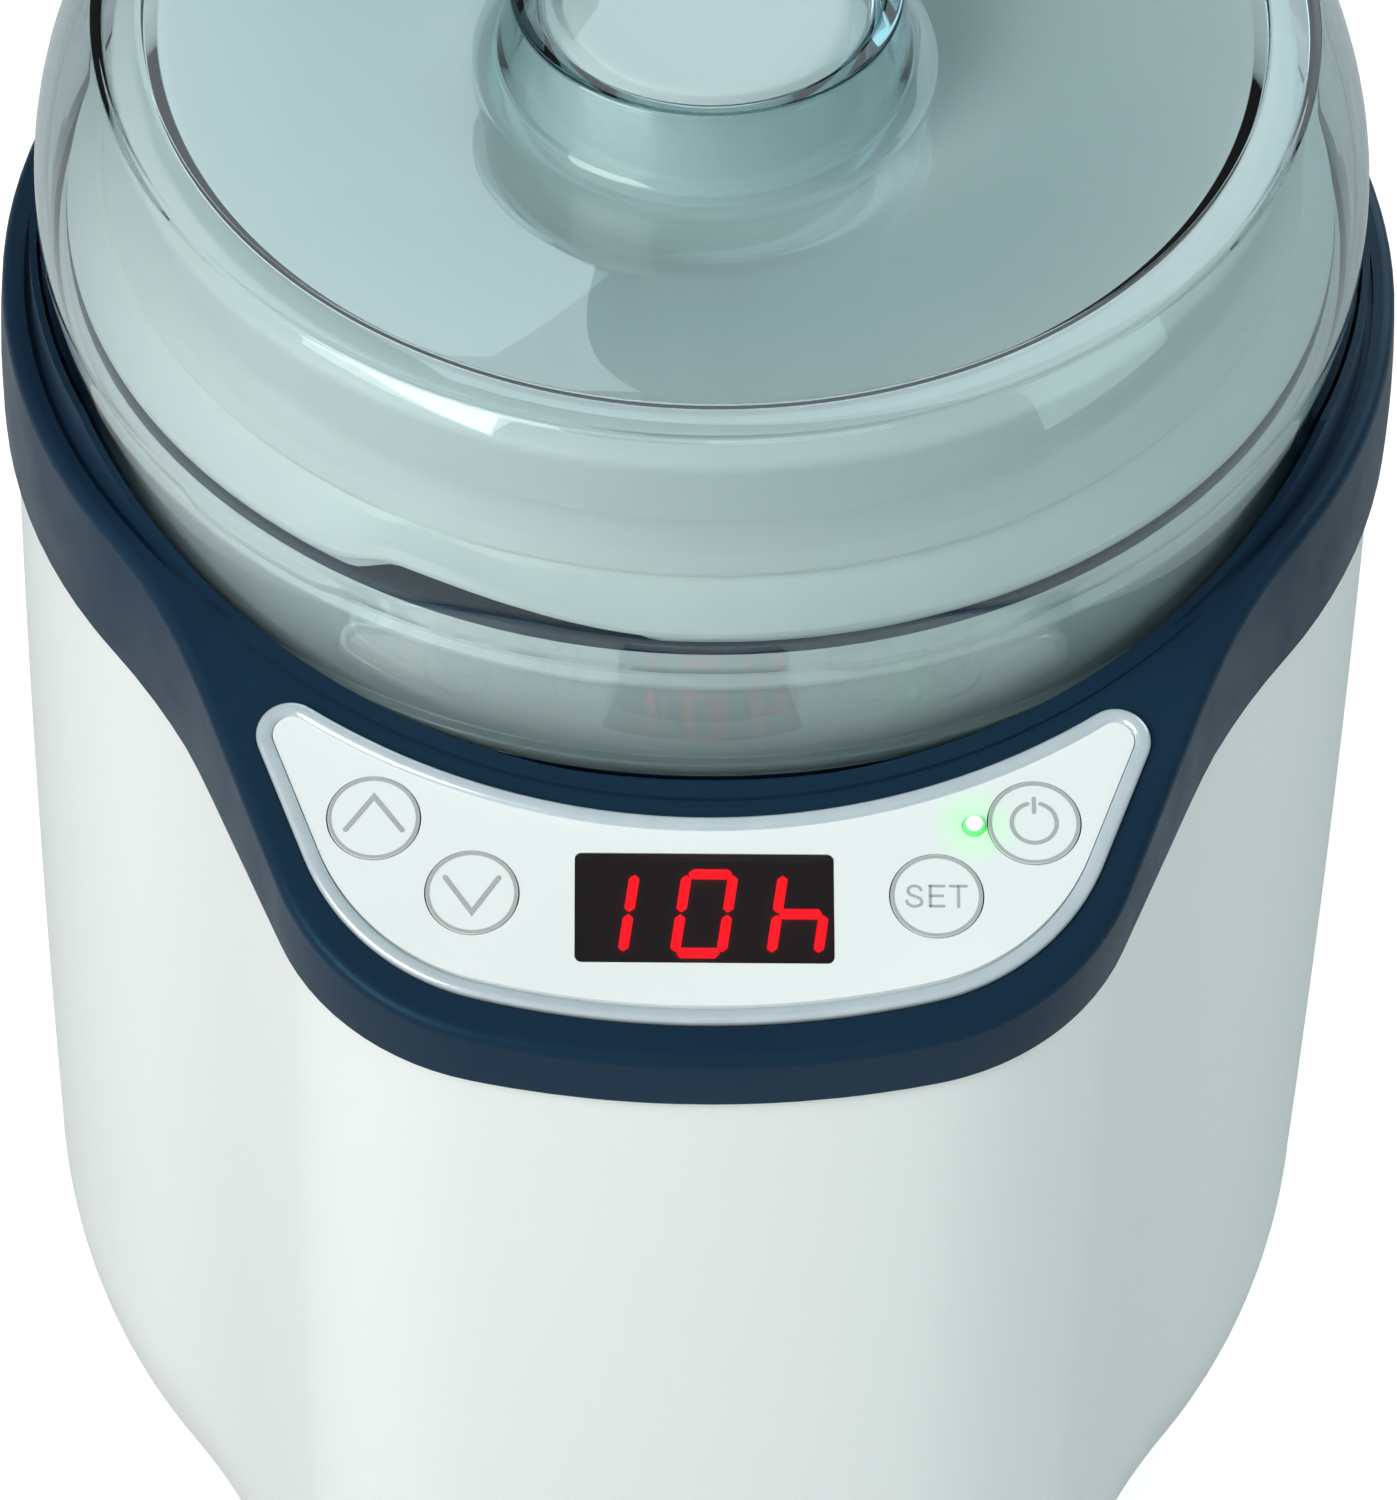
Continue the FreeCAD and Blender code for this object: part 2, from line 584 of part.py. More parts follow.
bars = []
for centre_x, lit in DIGITS:
    for letter in lit:
        bars.append(segment_bar(SEGMENTS[letter][0], SEGMENTS[letter][1], centre_x))
on_ledge(shaped("display_segments", Part.makeCompound(bars)), "display_segments")

for name, side, rank in KEYS:
    sign = "0 + " if side > 0 else "0 - "
    x = sign + rank + "_key_x"
    v = rank + "_key_v"
    cap = rod(name + "_cap", "key_radius", "1.65", x, v, "-1.3")
    stem = rod(name + "_stem", "2", "2.8", x, v, "-4.05")
    on_ledge(fuse("button_" + name, [cap, stem]), "button_" + name)

switches = []
for name, side, rank in KEYS:
    sign = "0 + " if side > 0 else "0 - "
    x = sign + rank + "_key_x"
    v = rank + "_key_v"
    case = block(name + "_switch_case", ("6", "6", "3.4"), (x + " - 3", v + " - 3", "0 - board_depth"))
    plunger = rod(name + "_plunger", "1.7", "1.05", x, v, "3.4 - board_depth")
    switches.append(fuse(name + "_switch", [case, plunger]))
on_ledge(group("tact_switches", switches), "tact_switches")

led_barrel = rod("led_barrel", "led_radius", "board_depth + 0.1", "led_x", "led_v", "0 - board_depth")
led_dome = doc.addObject("Part::Sphere", "led_dome")
bind(led_dome, "Radius", "led_radius")
bind(led_dome, "Placement.Base.x", "led_x")
bind(led_dome, "Placement.Base.y", "led_v")
bind(led_dome, "Placement.Base.z", "0.1")
on_ledge(fuse("status_led", [led_barrel, led_dome]), "status_led")

board = crescent(7.6, 94.5, -D["board_depth"] - D["board_thick"], -D["board_depth"])
for x, v in POSTS:
    board = board.cut(ledge_rod(1.2, -20, 0, x, v))
node(shaped("control_board", board), "control_board")

board_screws = []
for number, (x, v) in enumerate(POSTS, start=1):
    head = rod("board_screw_%d_head" % number, "2.2", "1.4", str(x), str(v), "-12.05")
    shank = rod("board_screw_%d_shank" % number, "1", "6.6", str(x), str(v), "-10.65")
    board_screws.append(fuse("board_screw_%d" % number, [head, shank]))
on_ledge(group("control_board_screws", board_screws), "control_board_screws")

# ---------------------------------------------------------------- heating well and its seals
well = lathe("well", [
    ("0", "well_floor - well_wall"), ("well_radius", "well_floor - well_wall"),
    ("well_radius", "well_rim - rim_wall"), ("rim_outer - rim_wall", "well_rim - rim_wall"),
    ("rim_outer - rim_wall", "ring_height - seat_drop"),
    ("flange_outer", "ring_height - seat_drop"),
    ("flange_outer", "ring_height - seat_drop + flange_thick"),
    ("rim_outer", "ring_height - seat_drop + flange_thick"),
    ("rim_outer", "well_rim"), ("well_radius - well_wall", "well_rim"),
    ("well_radius - well_wall", "well_floor"), ("0", "well_floor"),
])
round_edges(well, "well_rim_round", 0.8, [("rim_outer", "well_rim")])
LUG_ANGLES = [219.0, 281.0, 39.0, 101.0]
pieces = [well]
for number, angle in enumerate(LUG_ANGLES, start=1):
    stock = rod("lug_%d_stock" % number, "rim_outer + 0.75", "2.4", "0", "0", "well_rim - 5.4")
    stock.Angle = 17.5
    stock.Placement.Rotation = FreeCAD.Rotation(Vec(0, 0, 1), angle)
    bore = rod("lug_%d_bore" % number, "rim_outer - 0.8", "4", "0", "0", "well_rim - 6")
    pieces.append(cut("lug_%d" % number, stock, bore))
node(fuse("heating_well", pieces), "heating_well")
node(tube("well_gasket", "86", "81.8", "1.4", "well_rim"), "well_gasket")

pot = lathe("pot", [
    ("0", "well_floor"), ("pot_radius - pot_foot_round", "well_floor", -8.0),
    ("pot_radius", "well_floor + pot_foot_round"),
    ("pot_radius", "pot_rim - pot_flange_thick"), ("pot_flange", "pot_rim - pot_flange_thick"),
    ("pot_flange", "pot_rim"), ("pot_radius - pot_wall", "pot_rim"),
    ("pot_radius - pot_wall", "well_floor + pot_foot_round", 6.0),
    ("pot_radius - pot_foot_round", "well_floor + pot_wall"), ("0", "well_floor + pot_wall"),
])
round_edges(pot, "pot_rim_round", 0.7, [("pot_flange", "pot_rim"), ("pot_radius - pot_wall", "pot_rim")])
node(pot, "yogurt_pot")
node(tube("lid_seal", "80", "75", "lid_ledge - pot_rim", "pot_rim"), "lid_seal")

lid = lathe("lid", [
    ("0", "knob_top - lid_wall"), ("knob_radius - lid_wall", "knob_top - lid_wall"),
    ("knob_radius - 1", "lid_dish - lid_wall"),
    ("lid_radius - 10", "lid_top - lid_wall - 1.2"), ("lid_radius - 2.6", "lid_top - lid_wall - 1.2"),
    ("lid_radius - 2.2", "lid_ledge"), ("lid_skirt_inner", "lid_ledge"),
    ("lid_skirt_inner", "lid_skirt_low"), ("lid_skirt", "lid_skirt_low"),
    ("lid_skirt", "lid_ledge + 1"), ("lid_skirt - 2.6", "lid_neck"), ("lid_radius", "lid_neck + 0.6"),
    ("lid_radius - 0.6", "lid_top - 2.4", -3.2), ("lid_radius - 3.2", "lid_top"),
    ("lid_radius - 8", "lid_top"), ("30", "lid_dish"), ("knob_radius + 2.4", "lid_dish"),
    ("knob_radius + 0.8", "lid_dish + 1.8"), ("knob_radius", "knob_top - 1.4"),
    ("knob_radius - 1.4", "knob_top"), ("0", "knob_top"),
])
node(lid, "pot_lid")

# ---------------------------------------------------------------- cover
cover = lathe("cover", [
    ("cover_foot - cover_wall", "ring_height - seat_drop"), ("cover_foot", "ring_height - seat_drop"),
    ("cover_foot", "cover_bend", -52.0),
    ("cover_shoulder", "shoulder_height"),
    ("cover_shoulder - 0.8", "shoulder_height + 0.5"), ("rim_inner + 0.8", "shoulder_height + 0.5"),
    ("rim_inner", "shoulder_height - 0.5"), ("rim_inner - 0.5", "shoulder_height - 1.3", 300.0),
    ("handle_base + 2.6", "dish_height", 4.0),
    ("handle_base - 0.4", "dish_height + 2.6"), ("handle_outer", "total_height - 0.8"),
    ("handle_outer - 0.8", "total_height"), ("handle_inner + 0.6", "total_height"),
    ("handle_inner", "total_height - 0.6"), ("handle_inner", "eye_height"), ("0", "eye_height"),
    ("0", "eye_height - cover_wall + 0.1"), ("handle_inner - 1.2", "eye_height - cover_wall + 0.1"),
    ("handle_base - 3.4", "dish_height - cover_wall"),
    ("handle_base + 2.6", "dish_height - cover_wall"),
    ("rim_inner - 1.5", "shoulder_height - 2.9"), ("rim_inner + 0.6", "shoulder_height - 1.4"),
    ("cover_shoulder - 1.6", "shoulder_height - 1.4", 50.2),
    ("cover_foot - cover_wall", "cover_bend"),
])
node(cover, "cover")

# ---------------------------------------------------------------- heater and its controls
node(rod("heater_plate", "heater_radius", "heater_thick", "0", "0", "well_floor - well_wall - heater_thick"),
     "heater_plate")
HEATER_LOW = "well_floor - well_wall - heater_thick"
node(tube("heater_element", "60", "40", "3", HEATER_LOW + " - 3"), "heater_element")
node(tube("insulation_sleeve", "86.4", "81.3", "92", "100"), "insulation_sleeve")
sensor_foot = rod("sensor_foot", "5", "2", "0", "0", HEATER_LOW + " - 2")
node(fuse("temperature_sensor", [sensor_foot, rod("sensor_can", "3", "8", "0", "0", HEATER_LOW + " - 9")]),
     "temperature_sensor")
fuse_body = doc.addObject("Part::Cylinder", "fuse_body")
bind(fuse_body, "Radius", "2")
bind(fuse_body, "Height", "14")
fuse_body.Placement.Rotation = FreeCAD.Rotation(Vec(0, 1, 0), 90)
bind(fuse_body, "Placement.Base.x", "-7")
bind(fuse_body, "Placement.Base.y", "24")
bind(fuse_body, "Placement.Base.z", HEATER_LOW + " - 2.1")
node(group("thermal_fuse", [fuse_body]), "thermal_fuse")
clamp_screws = []
for number, angle in enumerate((90.0, 210.0, 330.0), start=1):
    x = "%.3f" % (65.0 * math.cos(math.radians(angle)))
    y = "%.3f" % (65.0 * math.sin(math.radians(angle)))
    clamp_screws.append(rod("heater_screw_%d" % number, "3", "2.4", x, y, HEATER_LOW + " - 2.4"))
node(group("heater_screws", clamp_screws), "heater_screws")

# ---------------------------------------------------------------- power board
power_board = block("power_board_blank", ("82", "60", "1.6"), ("-41", "-33", "20"))
for number, (x, y) in enumerate(BOARD_POSTS, start=1):
    power_board = cut("power_board_drilled_%d" % number, power_board,
                      rod("power_board_hole_%d" % number, "1.4", "6", str(x), str(y), "18"))
node(power_board, "power_board")
power_screws = []
for number, (x, y) in enumerate(BOARD_POSTS, start=1):
    head = rod("power_screw_%d_head" % number, "2.4", "1.6", str(x), str(y), "21.6")
    shank = rod("power_screw_%d_shank" % number, "1.2", "10", str(x), str(y), "12")
    power_screws.append(fuse("power_screw_%d" % number, [head, shank]))
node(group("power_board_screws", power_screws), "power_board_screws")
BOARD_PARTS = [
    block("transformer_case", ("30", "26", "24"), ("-28", "-16", "21.6")),
    block("heater_relay_case", ("19", "15.5", "15.5"), ("8", "-20", "21.6")),
    rod("smoothing_capacitor_can", "5", "16", "19", "8", "21.6"),
    block("terminal_block_case", ("22", "9", "11"), ("-14", "14", "21.6")),
]
for part, label in zip(BOARD_PARTS, ("transformer", "heater_relay", "smoothing_capacitor", "terminal_block")):
    node(group(label, [part]), label)


# ---------------------------------------------------------------- gland where the mains lead enters
def along_y(label, radius, length, y):
    shape = doc.addObject("Part::Cylinder", label)
    bind(shape, "Radius", radius)
    bind(shape, "Height", length)
    shape.Placement.Rotation = FreeCAD.Rotation(Vec(1, 0, 0), -90)
    bind(shape, "Placement.Base.y", y)
    bind(shape, "Placement.Base.z", "gland_height")
    return shape


gland = fuse("gland_solid", [
    along_y("gland_lip", "gland_flange", "2.2", "90.9"), along_y("gland_tube", "gland_barrel", "12", "80"),
    along_y("gland_nut", "gland_flange - 0.5", "4", "81"),
])
node(cut("cord_gland", gland, along_y("gland_hole", "gland_bore", "30", "70")), "cord_gland")

# ---------------------------------------------------------------- checks and files
doc.recompute()
for obj in doc.Objects:
    if "Invalid" in obj.State or "Error" in obj.State:
        raise RuntimeError("%s: %s" % (obj.Label, obj.State))
for obj in NODES:
    if obj.Shape.isNull() or not obj.Shape.isValid() or not obj.Shape.Solids:
        raise RuntimeError("bad shape: " + obj.Label)
for obj in NODES:
    obj.Shape.exportStep("parts/%s.step" % obj.Label)
    print(obj.Label, len(obj.Shape.Solids), round(obj.Shape.Volume / 1000.0, 2))
whole = Part.makeCompound([obj.Shape for obj in NODES])
print("box", whole.BoundBox)
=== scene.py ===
import math

import bmesh
import bpy
from mathutils import Matrix, Vector


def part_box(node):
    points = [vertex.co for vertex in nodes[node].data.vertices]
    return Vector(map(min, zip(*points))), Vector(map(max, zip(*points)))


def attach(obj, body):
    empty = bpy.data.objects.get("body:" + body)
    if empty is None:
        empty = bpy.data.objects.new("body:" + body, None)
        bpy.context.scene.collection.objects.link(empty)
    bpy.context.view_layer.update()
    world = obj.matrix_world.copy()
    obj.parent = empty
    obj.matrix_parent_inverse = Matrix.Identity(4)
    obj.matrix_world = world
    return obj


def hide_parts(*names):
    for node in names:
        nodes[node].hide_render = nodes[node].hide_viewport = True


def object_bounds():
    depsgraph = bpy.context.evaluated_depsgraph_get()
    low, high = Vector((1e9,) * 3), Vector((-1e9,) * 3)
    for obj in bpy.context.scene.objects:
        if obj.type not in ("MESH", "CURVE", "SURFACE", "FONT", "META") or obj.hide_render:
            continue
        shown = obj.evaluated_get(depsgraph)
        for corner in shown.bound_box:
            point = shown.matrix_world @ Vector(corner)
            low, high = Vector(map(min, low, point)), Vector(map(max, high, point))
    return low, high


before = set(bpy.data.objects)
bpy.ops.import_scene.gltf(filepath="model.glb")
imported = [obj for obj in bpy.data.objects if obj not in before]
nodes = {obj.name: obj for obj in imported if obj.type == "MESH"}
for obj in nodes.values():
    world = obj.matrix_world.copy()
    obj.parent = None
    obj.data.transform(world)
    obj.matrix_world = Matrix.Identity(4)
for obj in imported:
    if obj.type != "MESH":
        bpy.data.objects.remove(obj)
bpy.context.view_layer.update()
cad_low, cad_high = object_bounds()
scene = bpy.context.scene
MM = 0.001

# ---------------------------------------------------------------- places taken from the frame
# Lengths that shape the object are in millimetres. Materials, floor, lights and camera use metres.
cover_low, cover_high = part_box("cover")
AXIS_Y = (cover_low.y + cover_high.y) / 2
COVER_BASE = cover_low.z
TILT = math.radians(15.5)
ACROSS = Vector((1, 0, 0))
UP_SLOPE = Vector((0, math.cos(TILT), math.sin(TILT)))
OUT_SLOPE = Vector((0, -math.sin(TILT), math.cos(TILT)))
lens_low, lens_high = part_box("display_lens")
WINDOW_V = 21.4  # the window's centre, up the ledge
LENS_SINK = 0.6  # the window's centre, under the ledge's face
LEDGE_START = (lens_low + lens_high) / 2 - UP_SLOPE * WINDOW_V * MM + OUT_SLOPE * LENS_SINK * MM


def ledge(u, v, w=0.0):
    """Point of the sloping control ledge: across, up the slope and out of it, in millimetres."""
    return LEDGE_START + ACROSS * u * MM + UP_SLOPE * v * MM + OUT_SLOPE * w * MM


def ledge_place(point):
    """The millimetre ledge coordinates of a point of the frame."""
    offset = (Vector(point) - LEDGE_START) / MM
    return offset.dot(ACROSS), offset.dot(UP_SLOPE), offset.dot(OUT_SLOPE)


# ---------------------------------------------------------------- materials
def new_material(name, colour, roughness, **constants):
    """A Principled material whose listed sockets hold constants."""
    material = bpy.data.materials.new(name)
    material.use_nodes = True
    shader = material.node_tree.nodes["Principled BSDF"]
    shader.inputs["Base Color"].default_value = (*colour, 1)
    shader.inputs["Roughness"].default_value = roughness
    for key, value in constants.items():
        socket = shader.inputs[key.replace("_", " ")]
        socket.default_value = (*value, 1) if isinstance(value, tuple) else value
    return material


def add(material, kind, **values):
    """A new node, with each value given to the input or else the setting of that name."""
    node = material.node_tree.nodes.new(kind)
    for key, value in values.items():
        if key in node.inputs:
            node.inputs[key].default_value = value
        else:
            setattr(node, key, value)
    return node


def join(material, start, start_socket, end, end_socket):
    material.node_tree.links.new(start.outputs[start_socket], end.inputs[end_socket])


def shader_of(material):
    return material.node_tree.nodes["Principled BSDF"]


def place_node(material):
    """The material's own texture coordinate node."""
    for node in material.node_tree.nodes:
        if node.type == "TEX_COORD":
            return node
    return add(material, "ShaderNodeTexCoord")


def remap(material, start, start_socket, low, high, to_low=0.0, to_high=1.0, **settings):
    """Map Range node that turns one span of a value into another."""
    span = add(material, "ShaderNodeMapRange", **settings)
    span.inputs["From Min"].default_value = low
    span.inputs["From Max"].default_value = high
    span.inputs["To Min"].default_value = to_low
    span.inputs["To Max"].default_value = to_high
    join(material, start, start_socket, span, "Value")
    return span


def noise(material, scale, detail, stretch):
    """Noise in the frame's own coordinates, with an optional scale for each axis."""
    texture = add(material, "ShaderNodeTexNoise", Scale=scale, Detail=detail)
    if stretch:
        mapping = add(material, "ShaderNodeMapping")
        mapping.inputs["Scale"].default_value = stretch
        join(material, place_node(material), "Object", mapping, "Vector")
        join(material, mapping, "Vector", texture, "Vector")
    else:
        join(material, place_node(material), "Object", texture, "Vector")
    return texture


NOISE_LOW, NOISE_HIGH = 0.3, 0.7  # nearly all of a noise texture lies between these


def mottle(material, low, high, scale, detail=3.0, stretch=None):
    """Base colour that drifts between two close tones."""
    ramp = add(material, "ShaderNodeValToRGB")
    first, last = ramp.color_ramp.elements
    first.position, last.position = NOISE_LOW, NOISE_HIGH
    first.color, last.color = (*low, 1), (*high, 1)
    join(material, noise(material, scale, detail, stretch), "Fac", ramp, "Fac")
    join(material, ramp, "Color", shader_of(material), "Base Color")


def vary_roughness(material, low, high, scale, detail=4.0, stretch=None):
    texture = noise(material, scale, detail, stretch)
    span = remap(material, texture, "Fac", NOISE_LOW, NOISE_HIGH, low, high)
    join(material, span, "Result", shader_of(material), "Roughness")


def bump(material, scale, depth, strength=1.0, detail=2.0, stretch=None):
    """Fine surface relief."""
    relief = add(material, "ShaderNodeBump", Strength=strength, Distance=depth)
    join(material, noise(material, scale, detail, stretch), "Fac", relief, "Height")
    join(material, relief, "Normal", shader_of(material), "Normal")


def mix_base(material, share, first=None, second=None):
    """Base colour between two colours, where None stands for the colour it had before."""
    base = shader_of(material).inputs["Base Color"]
    before = base.links[0].from_socket
    links = material.node_tree.links
    mixer = add(material, "ShaderNodeMix", data_type="RGBA")
    colours = [socket for socket in mixer.inputs if socket.type == "RGBA"]
    for socket, colour in zip(colours, (first, second)):
        if colour is None:
            links.new(before, socket)
        else:
            socket.default_value = (*colour, 1)
    links.new(share.outputs["Result"], mixer.inputs["Factor"])
    links.new(next(socket for socket in mixer.outputs if socket.type == "RGBA"), base)


# White ABS shell: satin gloss with a faint cool cast.
shell_white = new_material("shell_white", (0.80, 0.835, 0.82), 0.28,
                           Coat_Weight=0.12, Coat_Roughness=0.12)
mottle(shell_white, (0.797, 0.836, 0.821), (0.803, 0.841, 0.827), 4.0, 0.0)
vary_roughness(shell_white, 0.285, 0.295, 6.0, 0.0)

# The same plastic on the rim of the well. It darkens with depth, which stands in for the shade
# in the narrow gap under the cover.
RIM_DARK, RIM_LIGHT = 0.2065, 0.2215
rim_white = new_material("rim_white", (0.80, 0.835, 0.82), 0.32)
mottle(rim_white, (0.79, 0.828, 0.812), (0.815, 0.85, 0.836), 9.0)
vary_roughness(rim_white, 0.30, 0.36, 20.0)
rim_place = add(rim_white, "ShaderNodeSeparateXYZ")
join(rim_white, place_node(rim_white), "Object", rim_place, "Vector")
rim_rise = remap(rim_white, rim_place, "Z", RIM_DARK, RIM_LIGHT)
mix_base(rim_white, rim_rise, first=(0.27, 0.30, 0.295))

# Dark blue ABS trim, satin, with the fine spark texture of a moulded part.
navy = new_material("navy_satin", (0.009, 0.025, 0.050), 0.36, Specular_IOR_Level=0.2,
                    Specular_Tint=(0.24, 0.62, 0.80))
mottle(navy, (0.0082, 0.023, 0.046), (0.0098, 0.027, 0.054), 26.0)
vary_roughness(navy, 0.32, 0.42, 90.0)
bump(navy, 2600.0, 0.00001, 0.5)

# Milky polypropylene of the pot and its lid, slightly waxy.
milk = new_material("milk_polypropylene", (0.83, 0.87, 0.845), 0.36, Subsurface_Weight=0.04)
shader_of(milk).inputs["Subsurface Radius"].default_value = (0.006, 0.006, 0.006)
mottle(milk, (0.81, 0.855, 0.83), (0.85, 0.885, 0.862), 18.0)
vary_roughness(milk, 0.34, 0.40, 12.0)

# Smoked clear styrene of the cover. Its depth of colour comes from absorption, and light on its
# way to the lid passes straight through with a fixed tint.
smoke = new_material("smoked_styrene", (0.95, 0.965, 0.965), 0.02, Transmission_Weight=1.0, IOR=1.5)
mottle(smoke, (0.94, 0.957, 0.957), (0.96, 0.97, 0.97), 12.0)
vary_roughness(smoke, 0.003, 0.009, 20.0, 0.0)
absorb = add(smoke, "ShaderNodeVolumeAbsorption", Density=106.0)
absorb.inputs["Color"].default_value = (0.225, 0.525, 0.56, 1)
smoke_out = smoke.node_tree.nodes["Material Output"]
join(smoke, absorb, "Volume", smoke_out, "Volume")
let_through = add(smoke, "ShaderNodeBsdfTransparent", Color=(0.40, 0.415, 0.42, 1))
lamps_pass = add(smoke, "ShaderNodeMixShader")
join(smoke, add(smoke, "ShaderNodeLightPath"), "Is Shadow Ray", lamps_pass, "Fac")
smoke.node_tree.links.new(shader_of(smoke).outputs["BSDF"], lamps_pass.inputs[1])
smoke.node_tree.links.new(let_through.outputs["BSDF"], lamps_pass.inputs[2])
join(smoke, lamps_pass, "Shader", smoke_out, "Surface")

# Bright satin bezel round the control panel.
bezel = new_material("bezel_silver", (0.60, 0.68, 0.71), 0.24, Metallic=0.3,
                     Coat_Weight=0.6, Coat_Roughness=0.06)
mottle(bezel, (0.60, 0.70, 0.75), (0.66, 0.76, 0.81), 140.0)
vary_roughness(bezel, 0.16, 0.26, 400.0)
bump(bezel, 900.0, 0.00001, 0.25)

# Printed grey of the key signs.
ink = new_material("key_print", (0.41, 0.44, 0.44), 0.5)
mottle(ink, (0.40, 0.43, 0.43), (0.42, 0.455, 0.455), 500.0)
bump(ink, 3000.0, 0.000006, 0.3)

# Dark tinted window over the digits.
lens_dark = new_material("lens_tinted", (0.10, 0.075, 0.085), 0.05,
                         Transmission_Weight=0.9, IOR=1.49)
mottle(lens_dark, (0.095, 0.07, 0.08), (0.108, 0.08, 0.09), 200.0)
vary_roughness(lens_dark, 0.04, 0.08, 300.0)

# Lit bars of the digits.
lit_red = new_material("digit_red", (0.9, 0.02, 0.03), 0.4,
                       Emission_Color=(1.0, 0.0, 0.008), Emission_Strength=15.0)
mottle(lit_red, (0.85, 0.015, 0.03), (0.95, 0.03, 0.04), 900.0)

# Feet and gland.
rubber = new_material("foot_rubber", (0.03, 0.03, 0.033), 0.75)
mottle(rubber, (0.025, 0.025, 0.028), (0.04, 0.04, 0.043), 300.0)
bump(rubber, 2500.0, 0.00004, 0.6)

silicone = new_material("navy_silicone", (0.008, 0.035, 0.072), 0.5)
mottle(silicone, (0.007, 0.032, 0.066), (0.009, 0.038, 0.078), 60.0)

steel = new_material("screw_steel", (0.55, 0.56, 0.57), 0.3, Metallic=1.0)
mottle(steel, (0.50, 0.51, 0.52), (0.62, 0.63, 0.64), 700.0)
vary_roughness(steel, 0.22, 0.4, 900.0)
bump(steel, 2200.0, 0.00001, 0.4)

aluminium = new_material("heater_aluminium", (0.72, 0.73, 0.74), 0.35, Metallic=1.0)
mottle(aluminium, (0.68, 0.69, 0.70), (0.76, 0.77, 0.78), 60.0, 5.0, (1, 12, 1))
vary_roughness(aluminium, 0.28, 0.45, 300.0, 4.0, (1, 14, 1))
bump(aluminium, 500.0, 0.00002, 0.5, 2.0, (1, 20, 1))

mica = new_material("mica_sheet", (0.55, 0.43, 0.26), 0.45)
mottle(mica, (0.46, 0.35, 0.20), (0.64, 0.52, 0.33), 120.0, 6.0)
vary_roughness(mica, 0.3, 0.6, 240.0)
bump(mica, 700.0, 0.00005, 0.5)

foam = new_material("insulation_foam", (0.62, 0.62, 0.60), 0.95)
mottle(foam, (0.55, 0.55, 0.53), (0.70, 0.70, 0.68), 260.0, 6.0)
bump(foam, 900.0, 0.0004, 0.8, 4.0)

board_green = new_material("circuit_board", (0.02, 0.16, 0.07), 0.4,
                           Coat_Weight=0.3, Coat_Roughness=0.2)
mottle(board_green, (0.015, 0.13, 0.055), (0.03, 0.20, 0.09), 170.0, 1.0, (1, 9, 1))
bump(board_green, 800.0, 0.00003, 0.5, 0.0, (1, 6, 1))

component = new_material("component_black", (0.035, 0.035, 0.038), 0.5)
mottle(component, (0.028, 0.028, 0.03), (0.05, 0.05, 0.054), 240.0)
vary_roughness(component, 0.42, 0.6, 500.0)
bump(component, 1600.0, 0.00003, 0.5)


def near_point(material, point, near, far):
    """1 at the point of the frame, fading to 0 between two distances."""
    away = add(material, "ShaderNodeVectorMath", operation="DISTANCE")
    away.inputs[1].default_value = point
    join(material, place_node(material), "Object", away, 0)
    return remap(material, away, "Value", near, far, 1.0, 0.0, interpolation_type="SMOOTHERSTEP")


def halo(material, painted_glow_base, tint, glow, point, near, far):
    """Painted glow of the lamp's light soaking into the white plastic round it: a green tint mixed
    into the base colour, and emission.
    """
    fade = near_point(material, point, near, far)
    mix_base(material, fade, second=painted_glow_base)
    shader = shader_of(material)
    shader.inputs["Emission Color"].default_value = (*tint, 1)
    strength = add(material, "ShaderNodeMath", operation="MULTIPLY")
    strength.inputs[1].default_value = glow
    join(material, fade, "Result", strength, 0)
    join(material, strength, "Value", shader, "Emission Strength")


LED_POINT = ledge(35.4, 33.8, 0.6)
LAMP_RISE = 1.0  # the bright spot, above LED_POINT
fascia_white = new_material("fascia_white", (0.83, 0.88, 0.875), 0.22,
                            Coat_Weight=0.25, Coat_Roughness=0.06)
mottle(fascia_white, (0.82, 0.873, 0.868), (0.84, 0.888, 0.882), 40.0)
vary_roughness(fascia_white, 0.18, 0.27, 120.0)
bump(fascia_white, 1500.0, 0.000006, 0.3)
# Painted glow round the lamp: green tint in the fascia's base colour and a faint emission.
halo(fascia_white, (0.66, 0.88, 0.70), (0.28, 1.0, 0.34), 0.13, LED_POINT, 0.0012, 0.0075)

lamp = new_material("lamp_dome", (0.16, 0.62, 0.22), 0.12, Coat_Weight=0.5, Coat_Roughness=0.03)
lamp_fade = near_point(lamp, LED_POINT + OUT_SLOPE * LAMP_RISE * MM, 0.00105, 0.0014)
lamp_ramp = add(lamp, "ShaderNodeValToRGB")
lamp_ramp.color_ramp.elements[0].color = (0.01, 0.36, 0.05, 1)
lamp_ramp.color_ramp.elements[1].color = (0.93, 1.0, 0.94, 1)
join(lamp, lamp_fade, "Result", lamp_ramp, "Fac")
join(lamp, lamp_ramp, "Color", shader_of(lamp), "Emission Color")
shader_of(lamp).inputs["Emission Strength"].default_value = 1.1


# ---------------------------------------------------------------- finishes of the CAD nodes
def paint(material, *names):
    """Gives CAD nodes that stay in view their finished material."""
    for name in names:
        slots = nodes[name].data.materials
        for index in range(len(slots)):
            slots[index] = material
        if not slots:
            slots.append(material)


